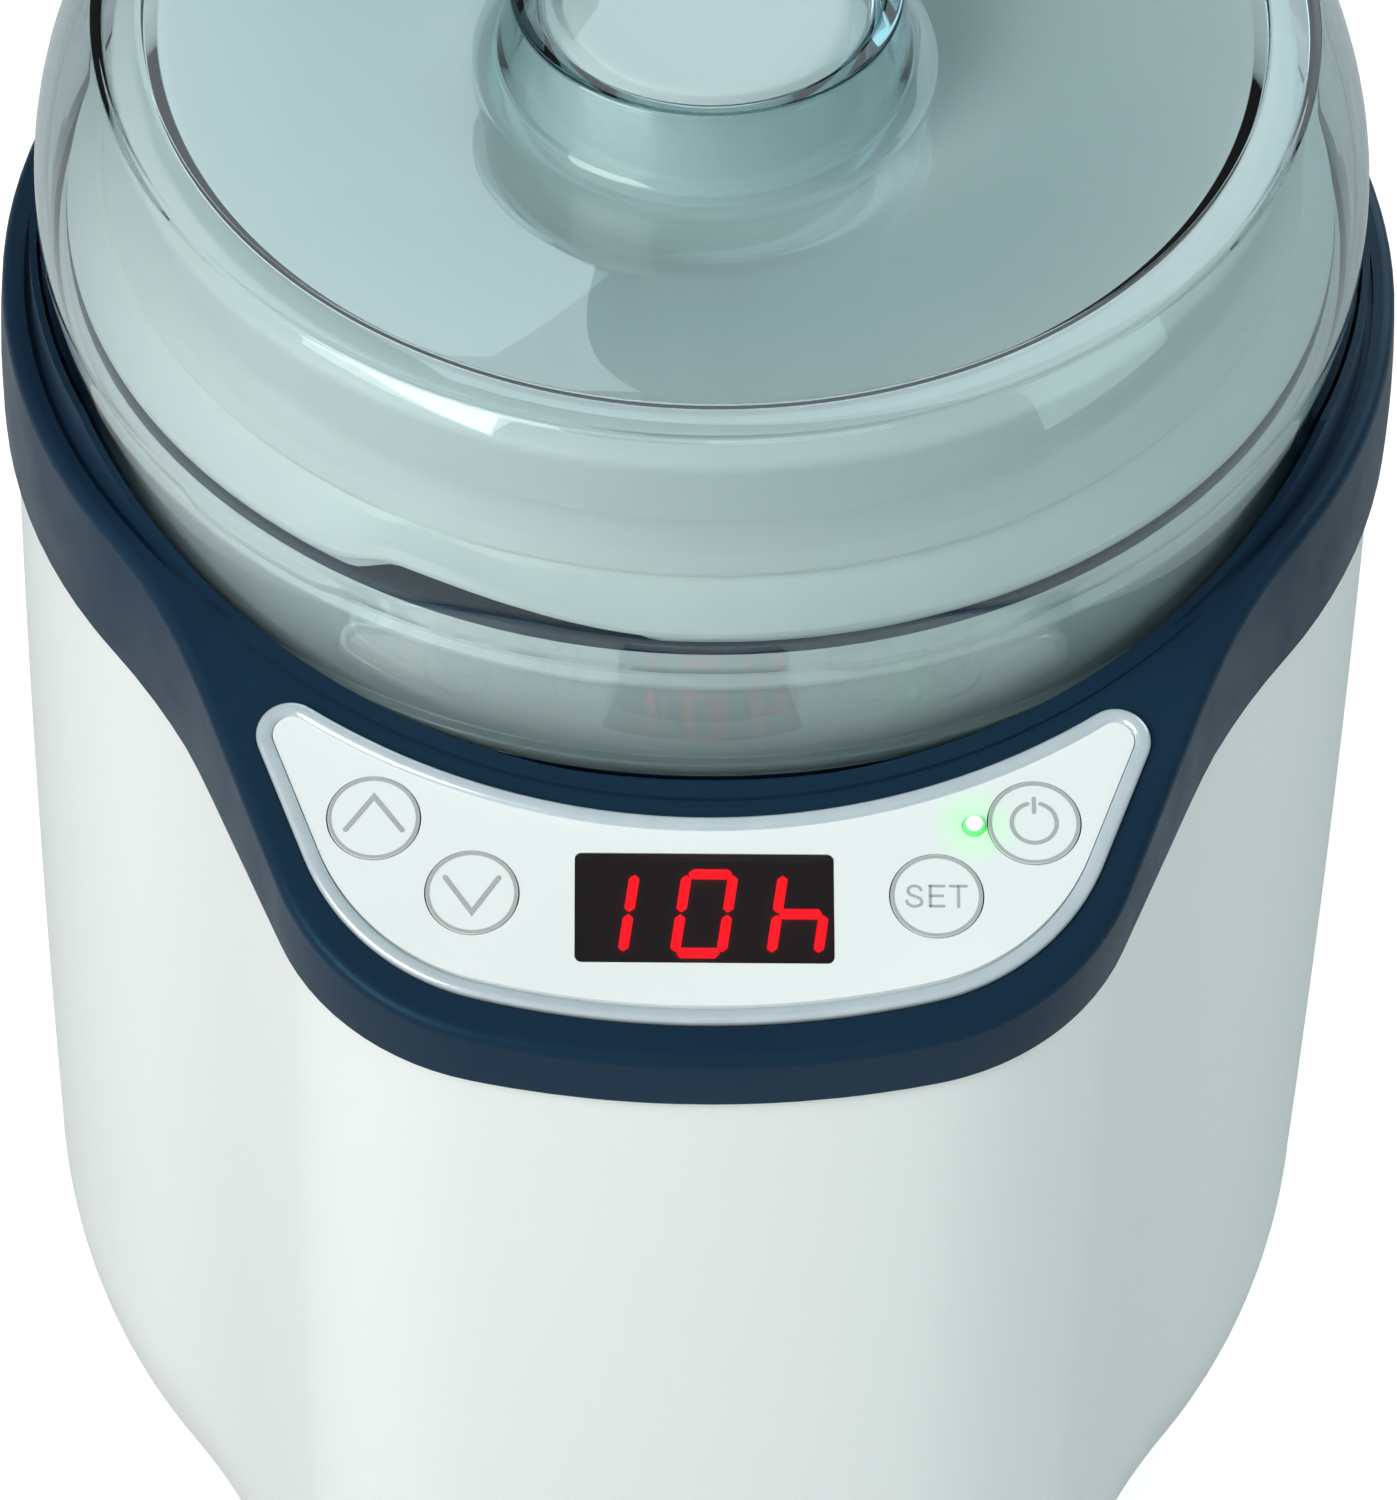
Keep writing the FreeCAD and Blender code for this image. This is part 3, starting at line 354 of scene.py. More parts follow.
paint(shell_white, "base_plate")
paint(navy, "trim_ring")
paint(milk, "yogurt_pot")
paint(fascia_white, "control_fascia", "button_up", "button_down", "button_set", "button_power")
paint(lens_dark, "display_lens")
paint(lamp, "status_led")
paint(silicone, "well_gasket", "lid_seal")
paint(rubber, "rubber_feet", "cord_gland")
paint(steel, "base_screws", "control_board_screws", "power_board_screws", "heater_screws")
paint(steel, "thermal_fuse", "temperature_sensor")
paint(aluminium, "heater_plate")
paint(mica, "heater_element")
paint(foam, "insulation_sleeve")
paint(board_green, "control_board", "power_board")
paint(component, "display_module", "tact_switches", "terminal_block")
paint(component, "transformer", "heater_relay", "smoothing_capacitor")


# ---------------------------------------------------------------- mesh helpers
def piece(name, vertices, faces, material, body, smooth=True):
    """A visible piece in the frame's metres that moves with a body."""
    mesh = bpy.data.meshes.new(name)
    mesh.from_pydata([tuple(v) for v in vertices], [], faces)
    mesh.materials.append(material)
    shape = bmesh.new()
    shape.from_mesh(mesh)
    bmesh.ops.recalc_face_normals(shape, faces=shape.faces)
    shape.to_mesh(mesh)
    shape.free()
    mesh.polygons.foreach_set("use_smooth", [smooth] * len(mesh.polygons))
    thing = bpy.data.objects.new(name, mesh)
    scene.collection.objects.link(thing)
    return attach(thing, body)


SHARE = 0.48  # part of a profile's run that one rounded corner may take


def rounded(corners, steps):
    """Profile through (radius, height[, round]) corners, with each corner turned by a curve."""
    points = []
    count = len(corners)
    for index, corner in enumerate(corners):
        here = Vector((corner[0], corner[1]))
        turn = corner[2] if len(corner) > 2 else 0.0
        if turn == 0.0 or index in (0, count - 1):
            points.append(here)
            continue
        before = Vector(corners[index - 1][:2])
        after = Vector(corners[index + 1][:2])
        to_before = (before - here).normalized()
        to_after = (after - here).normalized()
        angle = to_before.angle(to_after)
        room = min((before - here).length, (after - here).length) * SHARE
        reach = min(turn / math.tan(angle / 2), room)
        start = here + to_before * reach
        end = here + to_after * reach
        for step in range(steps + 1):
            t = step / steps
            points.append(start * (1 - t) ** 2 + here * 2 * t * (1 - t) + end * t ** 2)
    return points


def swelling(start, end, radius, steps=10):
    """Points strictly between two profile corners on an arc. It bows away from the axis, or
    towards it where the radius is negative."""
    a = Vector(start)
    b = Vector(end)
    chord = b - a
    side = Vector((chord.y, -chord.x)).normalized()
    if side.x < 0:
        side = -side
    half = chord.length / 2
    centre = (a + b) / 2 - side * math.copysign(math.sqrt(radius * radius - half * half), radius)
    first = a - centre
    turn = first.angle_signed(b - centre)
    points = []
    for step in range(1, steps):
        spin = Matrix.Rotation(-turn * step / steps, 2)
        points.append(centre + spin @ first)
    return [(p.x, p.y) for p in points]


def filled_in(profile, longest):
    """Adds points so that no run of the profile is longer than the given length."""
    points = [profile[0]]
    for a, b in zip(profile, profile[1:]):
        runs = max(1, math.ceil((b - a).length / longest))
        for step in range(1, runs + 1):
            points.append(a.lerp(b, step / runs))
    return points


def revolve(profile_at, closed, segments):
    """Vertices and faces of a body of revolution whose profile may change with the angle.
    Angle 0 is the front, and angles grow to the right; a radius of 0 becomes a pole."""
    vertices = []
    faces = []
    rings = []
    first = profile_at(0.0)
    for index in range(len(first)):
        if first[index][0] < 1e-6:
            rings.append([len(vertices)] * segments)
            vertices.append(Vector((0, AXIS_Y, first[index][1] * MM)))
        else:
            rings.append(list(range(len(vertices), len(vertices) + segments)))
            vertices.extend([None] * segments)
    for column in range(segments):
        angle = 2 * math.pi * column / segments
        profile = profile_at(math.degrees(angle) if angle <= math.pi else math.degrees(angle) - 360)
        for ring, (radius, height) in zip(rings, profile):
            if radius >= 1e-6:
                across, ahead = radius * MM * math.sin(angle), radius * MM * math.cos(angle)
                vertices[ring[column]] = Vector((across, AXIS_Y - ahead, height * MM))
    pairs = list(zip(rings, rings[1:]))
    if closed:
        pairs.append((rings[-1], rings[0]))
    for low, high in pairs:
        for column in range(segments):
            after = (column + 1) % segments
            corners = [low[column], low[after], high[after], high[column]]
            corners = [c for i, c in enumerate(corners) if c not in corners[:i]]
            if len(corners) > 2:
                faces.append(corners)
    return vertices, faces


def prism(start, count):
    """Side and end faces of a prism: the lower outline's vertices, then the upper one's."""
    sides = []
    for index in range(count):
        here, after = start + index, start + (index + 1) % count
        sides.append((here, after, after + count, here + count))
    upper = tuple(range(start + count, start + 2 * count))
    lower = tuple(range(start + count - 1, start - 1, -1))
    return sides, [upper, lower]


# ---------------------------------------------------------------- cover
COVER_STEPS = 256
LONGEST_RUN = 3.0
low = COVER_BASE / MM
bend = low + 21.0  # where the upright wall begins to lean in
outer_wall = swelling((90.0, bend), (82.2, 259.6), 52.0)
inner_wall = swelling((80.6, 258.2), (88.2, bend), 50.2)
dish = swelling((74.5, 258.3), (31.0, 251.5), -300.0, 8)
corners = [(88.2, low, 0.5), (90.0, low, 0.5), (90.0, bend)] + outer_wall
corners += [(82.2, 259.6, 0.7), (81.2, 260.15, 0.7), (75.35, 260.15, 0.35), (75.1, 258.35, 0.2)]
corners += dish + [(30.6, 251.5, 3.0), (28.0, 253.2, 2.4), (26.3, 264.5, 0.8)]
corners += [(23.65, 264.5, 0.3), (23.5, 263.4, 0.15), (12.0, 263.5), (0.0, 263.5)]
under = [(0.0, 261.8), (12.0, 261.8), (22.4, 261.8, 1.0), (24.9, 249.8, 1.6), (31.2, 249.7, 2.0)]
under += [(73.3, 256.6, 0.8), (75.6, 258.2, 0.8), (80.6, 258.2, 0.6)] + inner_wall + [(88.2, bend)]
cover_profile = filled_in(rounded(corners, 5), LONGEST_RUN)
cover_profile += filled_in(rounded(under, 4), LONGEST_RUN)
cover_profile.append(Vector((88.2, low + 0.5)))
vertices, faces = revolve(lambda angle: cover_profile, True, COVER_STEPS)
cover_shell = piece("cover_shell", vertices, faces, smoke, "cover")
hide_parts("cover")


# ---------------------------------------------------------------- lid of the pot
def blend_step(value, start, end):
    """Smooth step from 0 at the start to 1 at the end."""
    t = min(1.0, max(0.0, (value - start) / (end - start)))
    return t * t * (3 - 2 * t)


RIB_LEVEL, RIB_RISE = 228.7, 3.1
SKIRT_EDGE, EDGE_RISE = 227.3, 2.2


def lid_profile(angle):
    """A rib runs round the skirt's lower edge. It rises in a wave left of the front, where the
    skirt under it is cut away."""
    wave = blend_step(angle, -35.0, -28.0) * (1 - blend_step(angle, -28.0, -3.0))
    cut_away = blend_step(angle, -33.0, -28.0) * (1 - blend_step(angle, -10.0, -4.0))
    front = blend_step(angle, -24.0, -6.0) * (1 - blend_step(angle, 118.0, 150.0))
    rib = RIB_LEVEL + RIB_RISE * wave
    edge = max(SKIRT_EDGE, min(SKIRT_EDGE + EDGE_RISE * cut_away, rib - 0.9))
    lower = max(edge + 0.25, rib - 1.1)
    shoulder = max(232.5, rib + 1.5)
    tuck = 0.25 + 0.75 * front
    corners = [
        (0.0, 261.4), (9.0, 261.4), (19.2, 261.4, 2.2), (20.2, 249.0, 1.4), (22.6, 247.6, 1.2),
        (30.0, 247.6, 4.0), (71.8, 254.6, 2.0), (76.6, 254.6, 1.6), (79.6, 252.6, 2.4),
        (80.3, 238.0, 1.2),
        (80.9, 235.0, 0.5), (80.7, 234.3, 0.3), (80.7 - tuck, 233.9, 0.3),
        (81.2 - 0.4 * tuck, shoulder + 0.5, 0.5),
        (84.7, rib + 1.1, 0.5), (85.7, rib + 0.3, 0.4), (85.8, rib - 0.5, 0.35),
        (85.6 - 1.4 * cut_away, lower, 0.15), (85.5 - 1.3 * cut_away, edge + 0.05, 0.1),
        (85.0 - 1.2 * cut_away, edge, 0.15), (81.4, edge, 0.3),
        (81.3, 230.2, 0.3), (77.8, 230.2, 0.4), (77.4, 252.0, 0.8), (70.0, 252.0, 1.2),
        (20.4, 246.0, 1.0), (17.6, 259.8, 1.2), (0.0, 259.8),
    ]
    return rounded(corners, 4)


LID_STEPS = 360
vertices, faces = revolve(lid_profile, False, LID_STEPS)
lid_shell = piece("lid_shell", vertices, faces, milk, "lid")
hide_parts("pot_lid")


# ---------------------------------------------------------------- rim of the well, locking ramps
RAMPS = [(-42.2, 9.0), (19.8, 8.8), (137.8, 9.0), (-160.2, 8.8)]  # middle and half span, degrees
RAMP_INSIDE, RAMP_OUTSIDE = 1.6, 0.4  # how far a ramp's end slope reaches in and out, degrees
WELL_STEPS = 300


def well_profile(angle):
    """The rim, a millimetre proud where a locking ramp stands on it."""
    lift = 0.0
    for centre, half in RAMPS:
        away = abs((angle - centre + 180) % 360 - 180)
        lift = max(lift, 1 - blend_step(away, half - RAMP_INSIDE, half + RAMP_OUTSIDE))
    corners = [
        (0.0, 94.0), (80.0, 94.0, 0.8), (81.0, 95.0, 0.6), (81.0, 223.6, 0.4), (85.0, 223.6, 0.3),
        (85.0, 205.0), (88.0, 205.0), (88.0, 206.8, 0.3), (86.5, 206.8, 0.3),
        (86.3, 219.6, 0.4), (87.6, 220.4, 0.3), (87.6, 221.2, 0.3), (86.6, 222.0, 0.4),
        (86.6 + lift, 222.6, 0.25), (86.6 + lift, 223.9, 0.3), (86.4, 224.6, 0.3),
        (86.15, 225.6, 0.4), (79.0, 225.6, 0.5), (79.0, 97.5, 1.2), (77.5, 96.0, 0.6), (0.0, 96.0),
    ]
    return rounded(corners, 4)


vertices, faces = revolve(well_profile, False, WELL_STEPS)
well_shell = piece("well_shell", vertices, faces, rim_white, "base")
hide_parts("heating_well")


# ---------------------------------------------------------------- housing
RADIUS = 94.4  # round back
FLANK, BLEND = 88.8, 130.0  # straight flank's distance from the axis, hollow that leads into it
FLANK_TURN = math.radians(21.4)
CORNER, NOSE, REACH = 35.0, 130.0, 128.5  # nose's corners, its front, and how far out it stands
BACK_STEPS, FLANK_STEPS, NOSE_STEPS = 70, 14, 26
TOP, CURVE_TOP = 199.9, 49.0  # the side leans in a little down to where it curves under
TOP_INSET, LEAN_IN = 0.6, 2.9
RISE, TUCK = 45.0, 26.0  # height and depth of the curve under the side
WALL = 2.6
# The edge under the trim band: its level at the back, its drop at the nose, and how far in front
# of the pot's axis the drop begins.
SEAM_LEVEL, SEAM_DROP, SEAM_START = 191.5, 6.5, 71.63
SEAM_INSET = 0.7
SEAM_SHARES = [0.0, 0.001, 0.004]  # close rows that keep the edge crisp
SIDE_ROWS, TURN_ROWS, TURN_STEP = 48, 19, 4.0
FOOT_INSETS = (23.4, 24.2, 30.0)  # flat underside round the base plate


def arc(centre, radius, start, end, count):
    """Points after the start, up to the end, the short way round."""
    first = math.atan2(start.y - centre.y, start.x - centre.x)
    last = math.atan2(end.y - centre.y, end.x - centre.x)
    sweep = (last - first + math.pi) % (2 * math.pi) - math.pi
    turns = [first + sweep * step / count for step in range(1, count + 1)]
    return [centre + Vector((math.cos(t), math.sin(t))) * radius for t in turns]


def plan(inset):
    """Outline of the body round the pot's axis: round back, hollow flanks, blunt nose."""
    radius, flank, blend = RADIUS - inset, FLANK - inset, BLEND + inset
    corner, nose, tip = max(CORNER - inset, 0.6), NOSE - inset, REACH - inset
    out = Vector((math.cos(FLANK_TURN), -math.sin(FLANK_TURN)))
    along = Vector((-math.sin(FLANK_TURN), -math.cos(FLANK_TURN)))
    run = math.sqrt((radius + blend) ** 2 - (flank + blend) ** 2)
    blend_centre = out * (flank + blend) + along * run
    leave_round = blend_centre * (radius / (radius + blend))
    flank_start = out * flank + along * run
    nose_centre = Vector((0, nose - tip))
    offset = out * (flank - corner) - nose_centre
    half = offset.dot(along)
    reach = -half + math.sqrt(half ** 2 - offset.dot(offset) + (nose - corner) ** 2)
    corner_centre = out * (flank - corner) + along * reach
    flank_end = corner_centre + out * corner
    nose_start = nose_centre + (corner_centre - nose_centre).normalized() * nose
    side = arc(Vector((0, 0)), radius, Vector((0, radius)), leave_round, BACK_STEPS)
    side += arc(blend_centre, blend, leave_round, flank_start, FLANK_STEPS)
    for step in range(1, FLANK_STEPS + 1):
        side.append(flank_start.lerp(flank_end, step / FLANK_STEPS))
    side += arc(corner_centre, corner, flank_end, nose_start, NOSE_STEPS)
    side += arc(nose_centre, nose, nose_start, Vector((0, -tip)), NOSE_STEPS)
    mirrored = [Vector((-p.x, p.y)) for p in side[:-1]]
    return side + mirrored[::-1] + [Vector((0, radius))]


def seam(y):
    """Height of the edge under the trim band at a place along the body."""
    return SEAM_LEVEL - SEAM_DROP * max(0.0, -SEAM_START - y) / (REACH - SEAM_START)


def skin_rows(thick):
    """Rows of the housing from the seam down to the flat underside."""
    rows = []
    rims = [seam(p.y) for p in plan(SEAM_INSET + thick)]
    shares = SEAM_SHARES + [step / SIDE_ROWS for step in range(1, SIDE_ROWS + 1)]
    for share in shares:
        heights = [rim - (rim - CURVE_TOP) * share for rim in rims]
        middle = sum(heights) / len(heights)
        drop = (TOP - middle) / (TOP - CURVE_TOP)
        rows.append((plan(TOP_INSET + LEAN_IN * drop ** 2 + thick), heights))
    for step in range(1, TURN_ROWS + 1):
        turn = math.radians(TURN_STEP * step)
        inset = TOP_INSET + LEAN_IN + TUCK * (1 - math.cos(turn)) + thick * math.cos(turn)
        height = CURVE_TOP - (RISE - thick) * math.sin(turn)
        rows.append((plan(inset), [height] * len(rims)))
    rows += [(plan(inset), rows[-1][1]) for inset in FOOT_INSETS]
    return rows


rows = skin_rows(0.0) + skin_rows(WALL)[::-1]
vertices = []
for outline, heights in rows:
    for place, height in zip(outline, heights):
        vertices.append((place.x * MM, AXIS_Y + place.y * MM, height * MM))
columns = len(rows[0][0])
faces = []
for row in range(len(rows)):
    here = row * columns
    there = (row + 1) % len(rows) * columns
    for column in range(columns):
        after = (column + 1) % columns
        faces.append((here + column, here + after, there + after, there + column))
housing_skin = piece("housing_skin", vertices, faces, shell_white, "base")
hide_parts("outer_housing")

# The gland's hole through the back wall.
HOLE_RADIUS, HOLE_DEPTH = 6.2, 40.0
gland_low, gland_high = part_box("cord_gland")
lying = Matrix.Translation((gland_low + gland_high) / 2) @ Matrix.Rotation(math.pi / 2, 4, "X")
shape = bmesh.new()
bmesh.ops.create_cone(shape, cap_ends=True, segments=64, radius1=HOLE_RADIUS * MM,
                      radius2=HOLE_RADIUS * MM, depth=HOLE_DEPTH * MM, matrix=lying)
cutter_mesh = bpy.data.meshes.new("gland_cutter")
shape.to_mesh(cutter_mesh)
shape.free()
cutter = bpy.data.objects.new("gland_cutter", cutter_mesh)
scene.collection.objects.link(cutter)
hole = housing_skin.modifiers.new("gland_hole", "BOOLEAN")
hole.operation = "DIFFERENCE"
hole.solver = "EXACT"
hole.object = cutter
solved = housing_skin.evaluated_get(bpy.context.evaluated_depsgraph_get())
cut_mesh = bpy.data.meshes.new_from_object(solved)
housing_skin.modifiers.clear()
housing_skin.data = cut_mesh
bpy.data.objects.remove(cutter)
bpy.data.meshes.remove(cutter_mesh)


# ---------------------------------------------------------------- bezel of the control panel
FLATNESS = 0.02
SMOOTHING = 2  # neighbours on either side that a loop's direction is taken over


def side_lengths(loop):
    return [(b - a).length for a, b in zip(loop, loop[1:] + loop[:1])]


def loops_at(name, level):
    """Closed outlines of a node's flat top, as lists of (u, v) on the ledge."""
    data = nodes[name].data
    flat = {}
    for vertex in data.vertices:
        u, v, w = ledge_place(vertex.co)
        if abs(w - level) < FLATNESS:
            flat[vertex.index] = (round(u, 3), round(v, 3))
    uses = {}
    for polygon in data.polygons:
        if all(index in flat for index in polygon.vertices):
            ring = [flat[index] for index in polygon.vertices]
            for a, b in zip(ring, ring[1:] + ring[:1]):
                if a != b:
                    key = (a, b) if a < b else (b, a)
                    uses[key] = uses.get(key, 0) + 1
    beside = {}
    for (a, b), count in uses.items():
        if count == 1:
            beside.setdefault(a, []).append(b)
            beside.setdefault(b, []).append(a)
    found = []
    left = set(beside)
    while left:
        start = min(left)
        loop = [start]
        left.discard(start)
        while True:
            after = [p for p in beside[loop[-1]] if p in left]
            if not after:
                break
            loop.append(after[0])
            left.discard(after[0])
        found.append([Vector(p) for p in loop])
    return sorted(found, key=lambda loop: -sum(side_lengths(loop)))


def even_loop(loop, count):
    """The loop resampled to evenly spaced points, anticlockwise, from its rightmost point."""
    area = sum(a.x * b.y - b.x * a.y for a, b in zip(loop, loop[1:] + loop[:1]))
    if area < 0:
        loop = loop[::-1]
    first = max(range(len(loop)), key=lambda i: loop[i].x)
    loop = loop[first:] + loop[:first]
    lengths = side_lengths(loop)
    total = sum(lengths)
    points = []
    index = 0
    walked = 0.0
    for step in range(count):
        target = total * step / count
        while walked + lengths[index] < target:
            walked += lengths[index]
            index += 1
        share = (target - walked) / lengths[index]
        points.append(loop[index].lerp(loop[(index + 1) % len(loop)], share))
    return points


def inward(points, distance):
    """The loop moved in by a distance along its smoothed normals."""
    moved = []
    count = len(points)
    for index, point in enumerate(points):
        along = points[(index + SMOOTHING) % count] - points[index - SMOOTHING]
        side = Vector((-along.y, along.x)).normalized()
        moved.append(point + side * distance)
    return moved


def banded(name, rings, material, body):
    """Closed strip through rings of (u, v, w) points."""
    vertices = []
    faces = []
    for points, w in rings:
        vertices.extend(ledge(p.x, p.y, w) for p in points)
    count = len(rings[0][0])
    for band in range(len(rings)):
        low_start = band * count
        high_start = ((band + 1) % len(rings)) * count
        for index in range(count):
            after = (index + 1) % count
            faces.append((low_start + index, low_start + after,
                          high_start + after, high_start + index))
    return piece(name, vertices, faces, material, body)


BEZEL_TOP, BEZEL_STEPS = 0.9, 420
BEZEL = [
    (0.0, -1.4), (0.0, 0.30), (0.06, 0.52), (0.22, 0.74), (0.45, 0.87), (0.75, 0.90), (1.15, 0.88),
    (1.50, 0.80), (1.78, 0.66), (1.98, 0.48), (2.10, 0.22), (2.12, -1.4),
]  # inset from the outline, and height over the ledge
bezel_outline = even_loop(loops_at("panel_frame", BEZEL_TOP)[0], BEZEL_STEPS)
bezel_rings = [(inward(bezel_outline, inset), w) for inset, w in BEZEL]
bezel_piece = banded("bezel_ring", bezel_rings, bezel, "base")
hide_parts("panel_frame")


# ---------------------------------------------------------------- printed signs
KEY_TOP = 0.352
PRINT_TOP = KEY_TOP + 0.035
CAP_STEPS, RING_STEPS = 8, 72
SHARPEST = 0.45  # limits how far the print runs out at a sharp corner


def edges_of(points, closed, width):
    """The left and right edges of a stroke, mitred where it turns."""
    lefts = []
    rights = []
    last = len(points) - 1
    for index, point in enumerate(points):
        before = points[index - 1] if closed else points[max(0, index - 1)]
        after = points[(index + 1) % len(points)] if closed else points[min(last, index + 1)]
        into = (point - before).normalized() if (point - before).length > 1e-9 else None
        out = (after - point).normalized() if (after - point).length > 1e-9 else None
        along = ((into or out) + (out or into)).normalized()
        half = width / 2
        if into and out:
            half = half / max(SHARPEST, math.sqrt(max(0.0, (1 + into.dot(out)) / 2)))
        side = Vector((-along.y, along.x)) * half
        lefts.append(point + side)
        rights.append(point - side)
    return lefts, rights


def round_end(tip, inner, width):
    """Half circle from the left to the right of a stroke's end."""
    out = (tip - inner).normalized()
    base = math.atan2(out.y, out.x)
    turns = [base - math.pi / 2 + math.pi * step / CAP_STEPS for step in range(CAP_STEPS + 1)]
    return [tip + Vector((math.cos(turn), math.sin(turn))) * width / 2 for turn in turns]


def ribbon(name, strokes, width, body):
    """Flat printed strokes with round ends on a key; each stroke is a list of (u, v) points."""
    vertices = []
    faces = []
    for stroke in strokes:
        points = [Vector(p) for p in stroke]
        closed = (points[0] - points[-1]).length < 1e-6
        if closed:
            points = points[:-1]
        lefts, rights = edges_of(points, closed, width)
        start = len(vertices)
        if closed:
            for outer, inner in zip(lefts, rights):
                vertices.append(ledge(outer.x, outer.y, KEY_TOP))
                vertices.append(ledge(outer.x, outer.y, PRINT_TOP))
                vertices.append(ledge(inner.x, inner.y, PRINT_TOP))
                vertices.append(ledge(inner.x, inner.y, KEY_TOP))
            for index in range(len(points)):
                here = start + index * 4
                there = start + (index + 1) % len(points) * 4
                for edge in range(4):
                    after = (edge + 1) % 4
                    faces.append((here + edge, here + after, there + after, there + edge))
            continue
        outline = round_end(points[0], points[1], width) + rights[1:-1]
        outline += round_end(points[-1], points[-2], width) + lefts[1:-1][::-1]
        for w in (KEY_TOP, PRINT_TOP):
            vertices.extend(ledge(p.x, p.y, w) for p in outline)
        sides, ends = prism(start, len(outline))
        faces += sides + ends
    return piece(name, vertices, faces, ink, body, smooth=False)


def ring_points(centre, radius, start=0.0, end=360.0):
    """Points of an arc in degrees, which closes on itself when it is a full turn."""
    points = []
    for step in range(RING_STEPS + 1):
        turn = math.radians(start + (end - start) * step / RING_STEPS)
        points.append((centre[0] + radius * math.cos(turn), centre[1] + radius * math.sin(turn)))
    if end - start == 360.0:
        points[-1] = points[0]
    return points


# The keys' centres on the ledge, and the widths of the printed lines.
KEYS = {"up": (-43.3, 34.3), "down": (-30.35, 23.4), "set": (30.35, 23.4), "power": (43.3, 34.3)}
RING_RADIUS = 5.76
RING_LINE, ARROW_LINE, POWER_LINE, LETTER_LINE = 0.47, 0.72, 0.58, 0.4
for key, centre in KEYS.items():
    ribbon("ring_" + key, [ring_points(centre, RING_RADIUS)], RING_LINE, "key_" + key)

x, v = KEYS["up"]
arrow = [(x - 3.65, v - 1.75), (x + 0.05, v + 3.2), (x + 3.75, v - 1.75)]
ribbon("arrow_up", [arrow], ARROW_LINE, "key_up")
x, v = KEYS["down"]
arrow = [(x - 3.5, v + 2.2), (x, v - 2.9), (x + 3.5, v + 2.2)]
ribbon("arrow_down", [arrow], ARROW_LINE, "key_down")
x, v = KEYS["power"]
power_sign = [ring_points((x, v), 2.95, 107.0, 433.0), [(x, v + 1.6), (x, v + 3.6)]]
ribbon("sign_power", power_sign, POWER_LINE, "key_power")
x, v = KEYS["set"]
letter_s = [(x - 3.95, v - 0.75), (x - 3.75, v - 1.25), (x - 3.2, v - 1.55), (x - 2.6, v - 1.55),
            (x - 2.1, v - 1.3), (x - 1.95, v - 0.85), (x - 2.15, v - 0.4), (x - 2.75, v - 0.12),
            (x - 3.4, v + 0.12), (x - 3.75, v + 0.5), (x - 3.7, v + 1.05), (x - 3.3, v + 1.4),
            (x - 2.75, v + 1.45), (x - 2.3, v + 1.25), (x - 2.05, v + 0.85)]
letter_e = [[(x - 0.85, v - 1.5), (x - 0.85, v + 1.45)], [(x - 0.85, v - 1.5), (x + 0.95, v - 1.5)],
            [(x - 0.85, v), (x + 0.8, v)], [(x - 0.85, v + 1.45), (x + 0.95, v + 1.45)]]
letter_t = [[(x + 1.8, v + 1.45), (x + 3.9, v + 1.45)], [(x + 2.85, v + 1.45), (x + 2.85, v - 1.6)]]
ribbon("sign_set", [letter_s, *letter_e, *letter_t], LETTER_LINE, "key_set")


# ---------------------------------------------------------------- lit digits
LEAN = math.tan(math.radians(8.0))
TALL, WIDE = 11.6, 6.1
BAR, GAP = 1.34, 0.22
POINT = 0.42  # length of a bar's pointed end, in bar widths
DIGIT_BACK, DIGIT_FACE = -2.15, -1.8
GRID = {
    "a": ((0, 1), (1, 1)), "b": ((1, 1), (1, 0.5)), "c": ((1, 0.5), (1, 0)), "d": ((0, 0), (1, 0)),
    "e": ((0, 0.5), (0, 0)), "f": ((0, 1), (0, 0.5)), "g": ((0, 0.5), (1, 0.5)),
}
DIGITS = [(-12.9, "bc"), (0.0, "abcdef"), (12.6, "cefg")]  # place across, and lit bars


def digit_bar(start, end, centre):
    """Outline of one bar between two corners of a digit's grid, on the ledge."""
    a = Vector(((start[0] - 0.5) * WIDE, (start[1] - 0.5) * TALL))
    b = Vector(((end[0] - 0.5) * WIDE, (end[1] - 0.5) * TALL))
    along = (b - a).normalized()
    side = Vector((-along.y, along.x)) * BAR / 2
    a = a + along * GAP
    b = b - along * GAP
    slope = along * BAR * POINT
    outline = [a, a + slope + side, b - slope + side, b, b - slope - side, a + slope - side]
    return [(p.x + p.y * LEAN + centre, p.y + WINDOW_V) for p in outline]


vertices = []
faces = []
for centre, lit in DIGITS:
    for letter in lit:
        outline = digit_bar(*GRID[letter], centre)
        start = len(vertices)
        for w in (DIGIT_BACK, DIGIT_FACE):
            vertices.extend(ledge(u, v, w) for u, v in outline)
        sides, ends = prism(start, len(outline))
        faces += ends + sides
digits_piece = piece("lit_digits", vertices, faces, lit_red, "base", smooth=False)
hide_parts("display_segments")


# ---------------------------------------------------------------- floor, light and camera
# The floor is pale grey to reflections, and glows for the camera alone.
FLOOR_GLOW = 0.7
floor_white = new_material("floor_white", (0.5, 0.51, 0.51), 0.85, Emission_Color=(1.0, 1.0, 1.0))
mottle(floor_white, (0.56, 0.57, 0.57), (0.62, 0.63, 0.63), 1.5)
seen_bright = add(floor_white, "ShaderNodeMath", operation="MULTIPLY")
seen_bright.inputs[1].default_value = FLOOR_GLOW
join(floor_white, add(floor_white, "ShaderNodeLightPath"), "Is Camera Ray", seen_bright, 0)
join(floor_white, seen_bright, "Value", shader_of(floor_white), "Emission Strength")
UNDER_FEET = 0.0002
bpy.ops.mesh.primitive_grid_add(x_subdivisions=8, y_subdivisions=8, size=9.0,
                                location=(0, 0, cad_low.z - UNDER_FEET))
floor = bpy.context.object
floor.name = "floor"
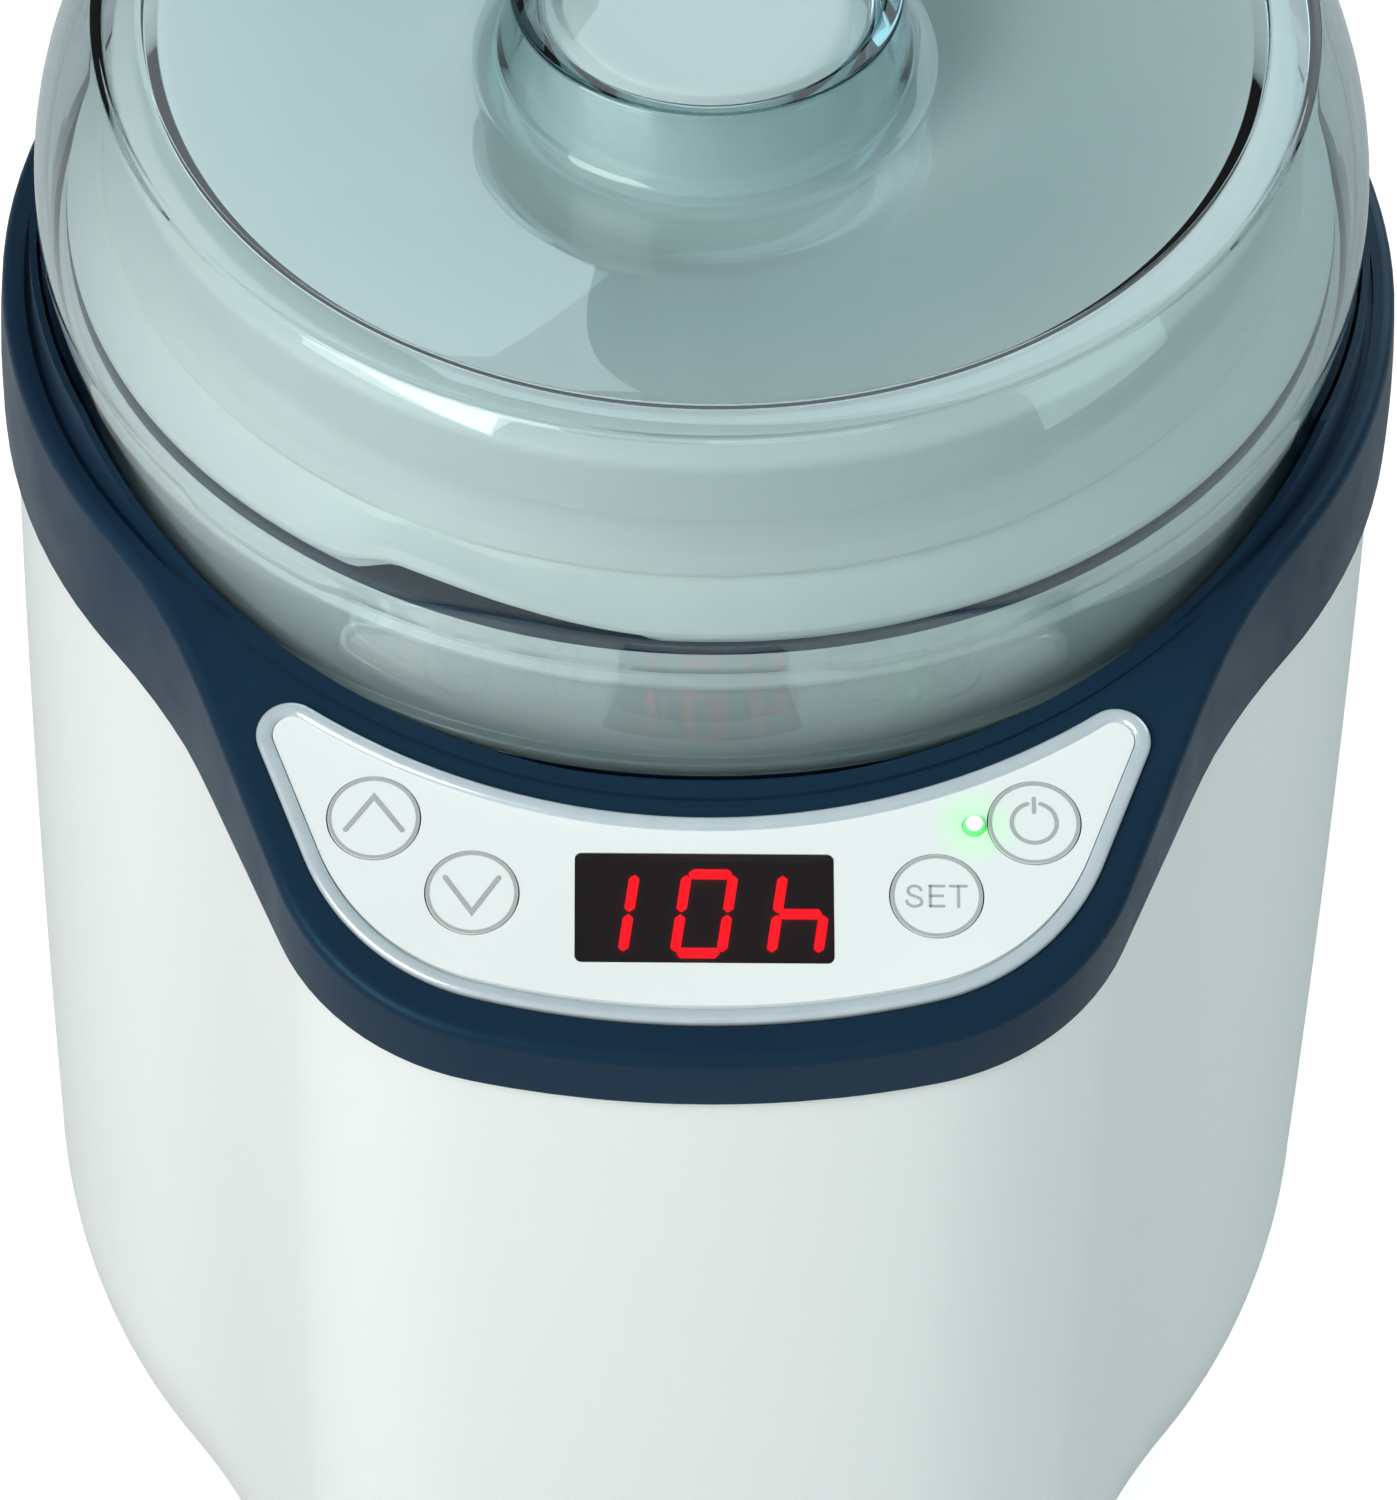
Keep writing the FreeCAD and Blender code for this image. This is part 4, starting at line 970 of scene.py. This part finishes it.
floor.data.materials.append(floor_white)

world = bpy.data.worlds.new("studio")
scene.world = world
world.use_nodes = True
sky = world.node_tree.nodes["Background"]
sky.inputs["Color"].default_value = (0.80, 0.88, 0.92, 1)
sky.inputs["Strength"].default_value = 0.2


def softbox(name, place, aim, wide, tall, power, colour, reflected=True):
    light = bpy.data.lights.new(name, "AREA")
    light.shape = "RECTANGLE"
    light.size = wide
    light.size_y = tall
    light.energy = power
    light.color = colour
    holder = bpy.data.objects.new(name, light)
    scene.collection.objects.link(holder)
    holder.location = place
    holder.rotation_mode = "QUATERNION"
    holder.rotation_quaternion = (Vector(aim) - Vector(place)).to_track_quat("-Z", "Y")
    holder.visible_glossy = reflected


MIDDLE, COVER_TOP = (0, 0, 0.13), (0, 0, 0.25)
softbox("key", (-1.45, -1.15, 1.35), MIDDLE, 1.4, 1.4, 43.0, (1.0, 0.99, 0.97))
softbox("over_front", (0.35, -1.05, 1.9), MIDDLE, 0.9, 0.9, 8.0, (0.95, 1.0, 1.0), reflected=False)
softbox("fill", (1.75, -0.75, 0.8), MIDDLE, 0.9, 1.1, 11.0, (0.85, 1.0, 0.97), reflected=False)
softbox("backdrop", (1.15, 2.1, 1.5), COVER_TOP, 2.2, 2.2, 34.0, (0.80, 0.93, 1.0))

ELEVATION, SWING, ROLL = math.radians(46.109), math.radians(-1.7), math.radians(1.66)
TARGET = Vector((0.00183, AXIS_Y, 0.11737))
DISTANCE = 1.5
FOCAL, LONG_SIDE = 10468.0, 1500.0  # in the picture's own pixels
SENSOR = 36.0
back = Vector((math.sin(SWING) * math.cos(ELEVATION), -math.cos(SWING) * math.cos(ELEVATION),
               math.sin(ELEVATION)))
right = Vector((math.cos(SWING), math.sin(SWING), 0))
up = back.cross(right)
turned = Matrix((right, up, back)).transposed() @ Matrix.Rotation(ROLL, 3, "Z")
eye = bpy.data.cameras.new("eye")
eye.sensor_fit = "AUTO"
eye.sensor_width = SENSOR
eye.lens = FOCAL / LONG_SIDE * SENSOR
eye.clip_start = 0.05
eye.clip_end = 20.0
viewer = bpy.data.objects.new("viewer", eye)
scene.collection.objects.link(viewer)
viewer.matrix_world = Matrix.Translation(TARGET + back * DISTANCE) @ turned.to_4x4()
scene.camera = viewer
scene.view_settings.view_transform = "Standard"

bpy.context.view_layer.update()
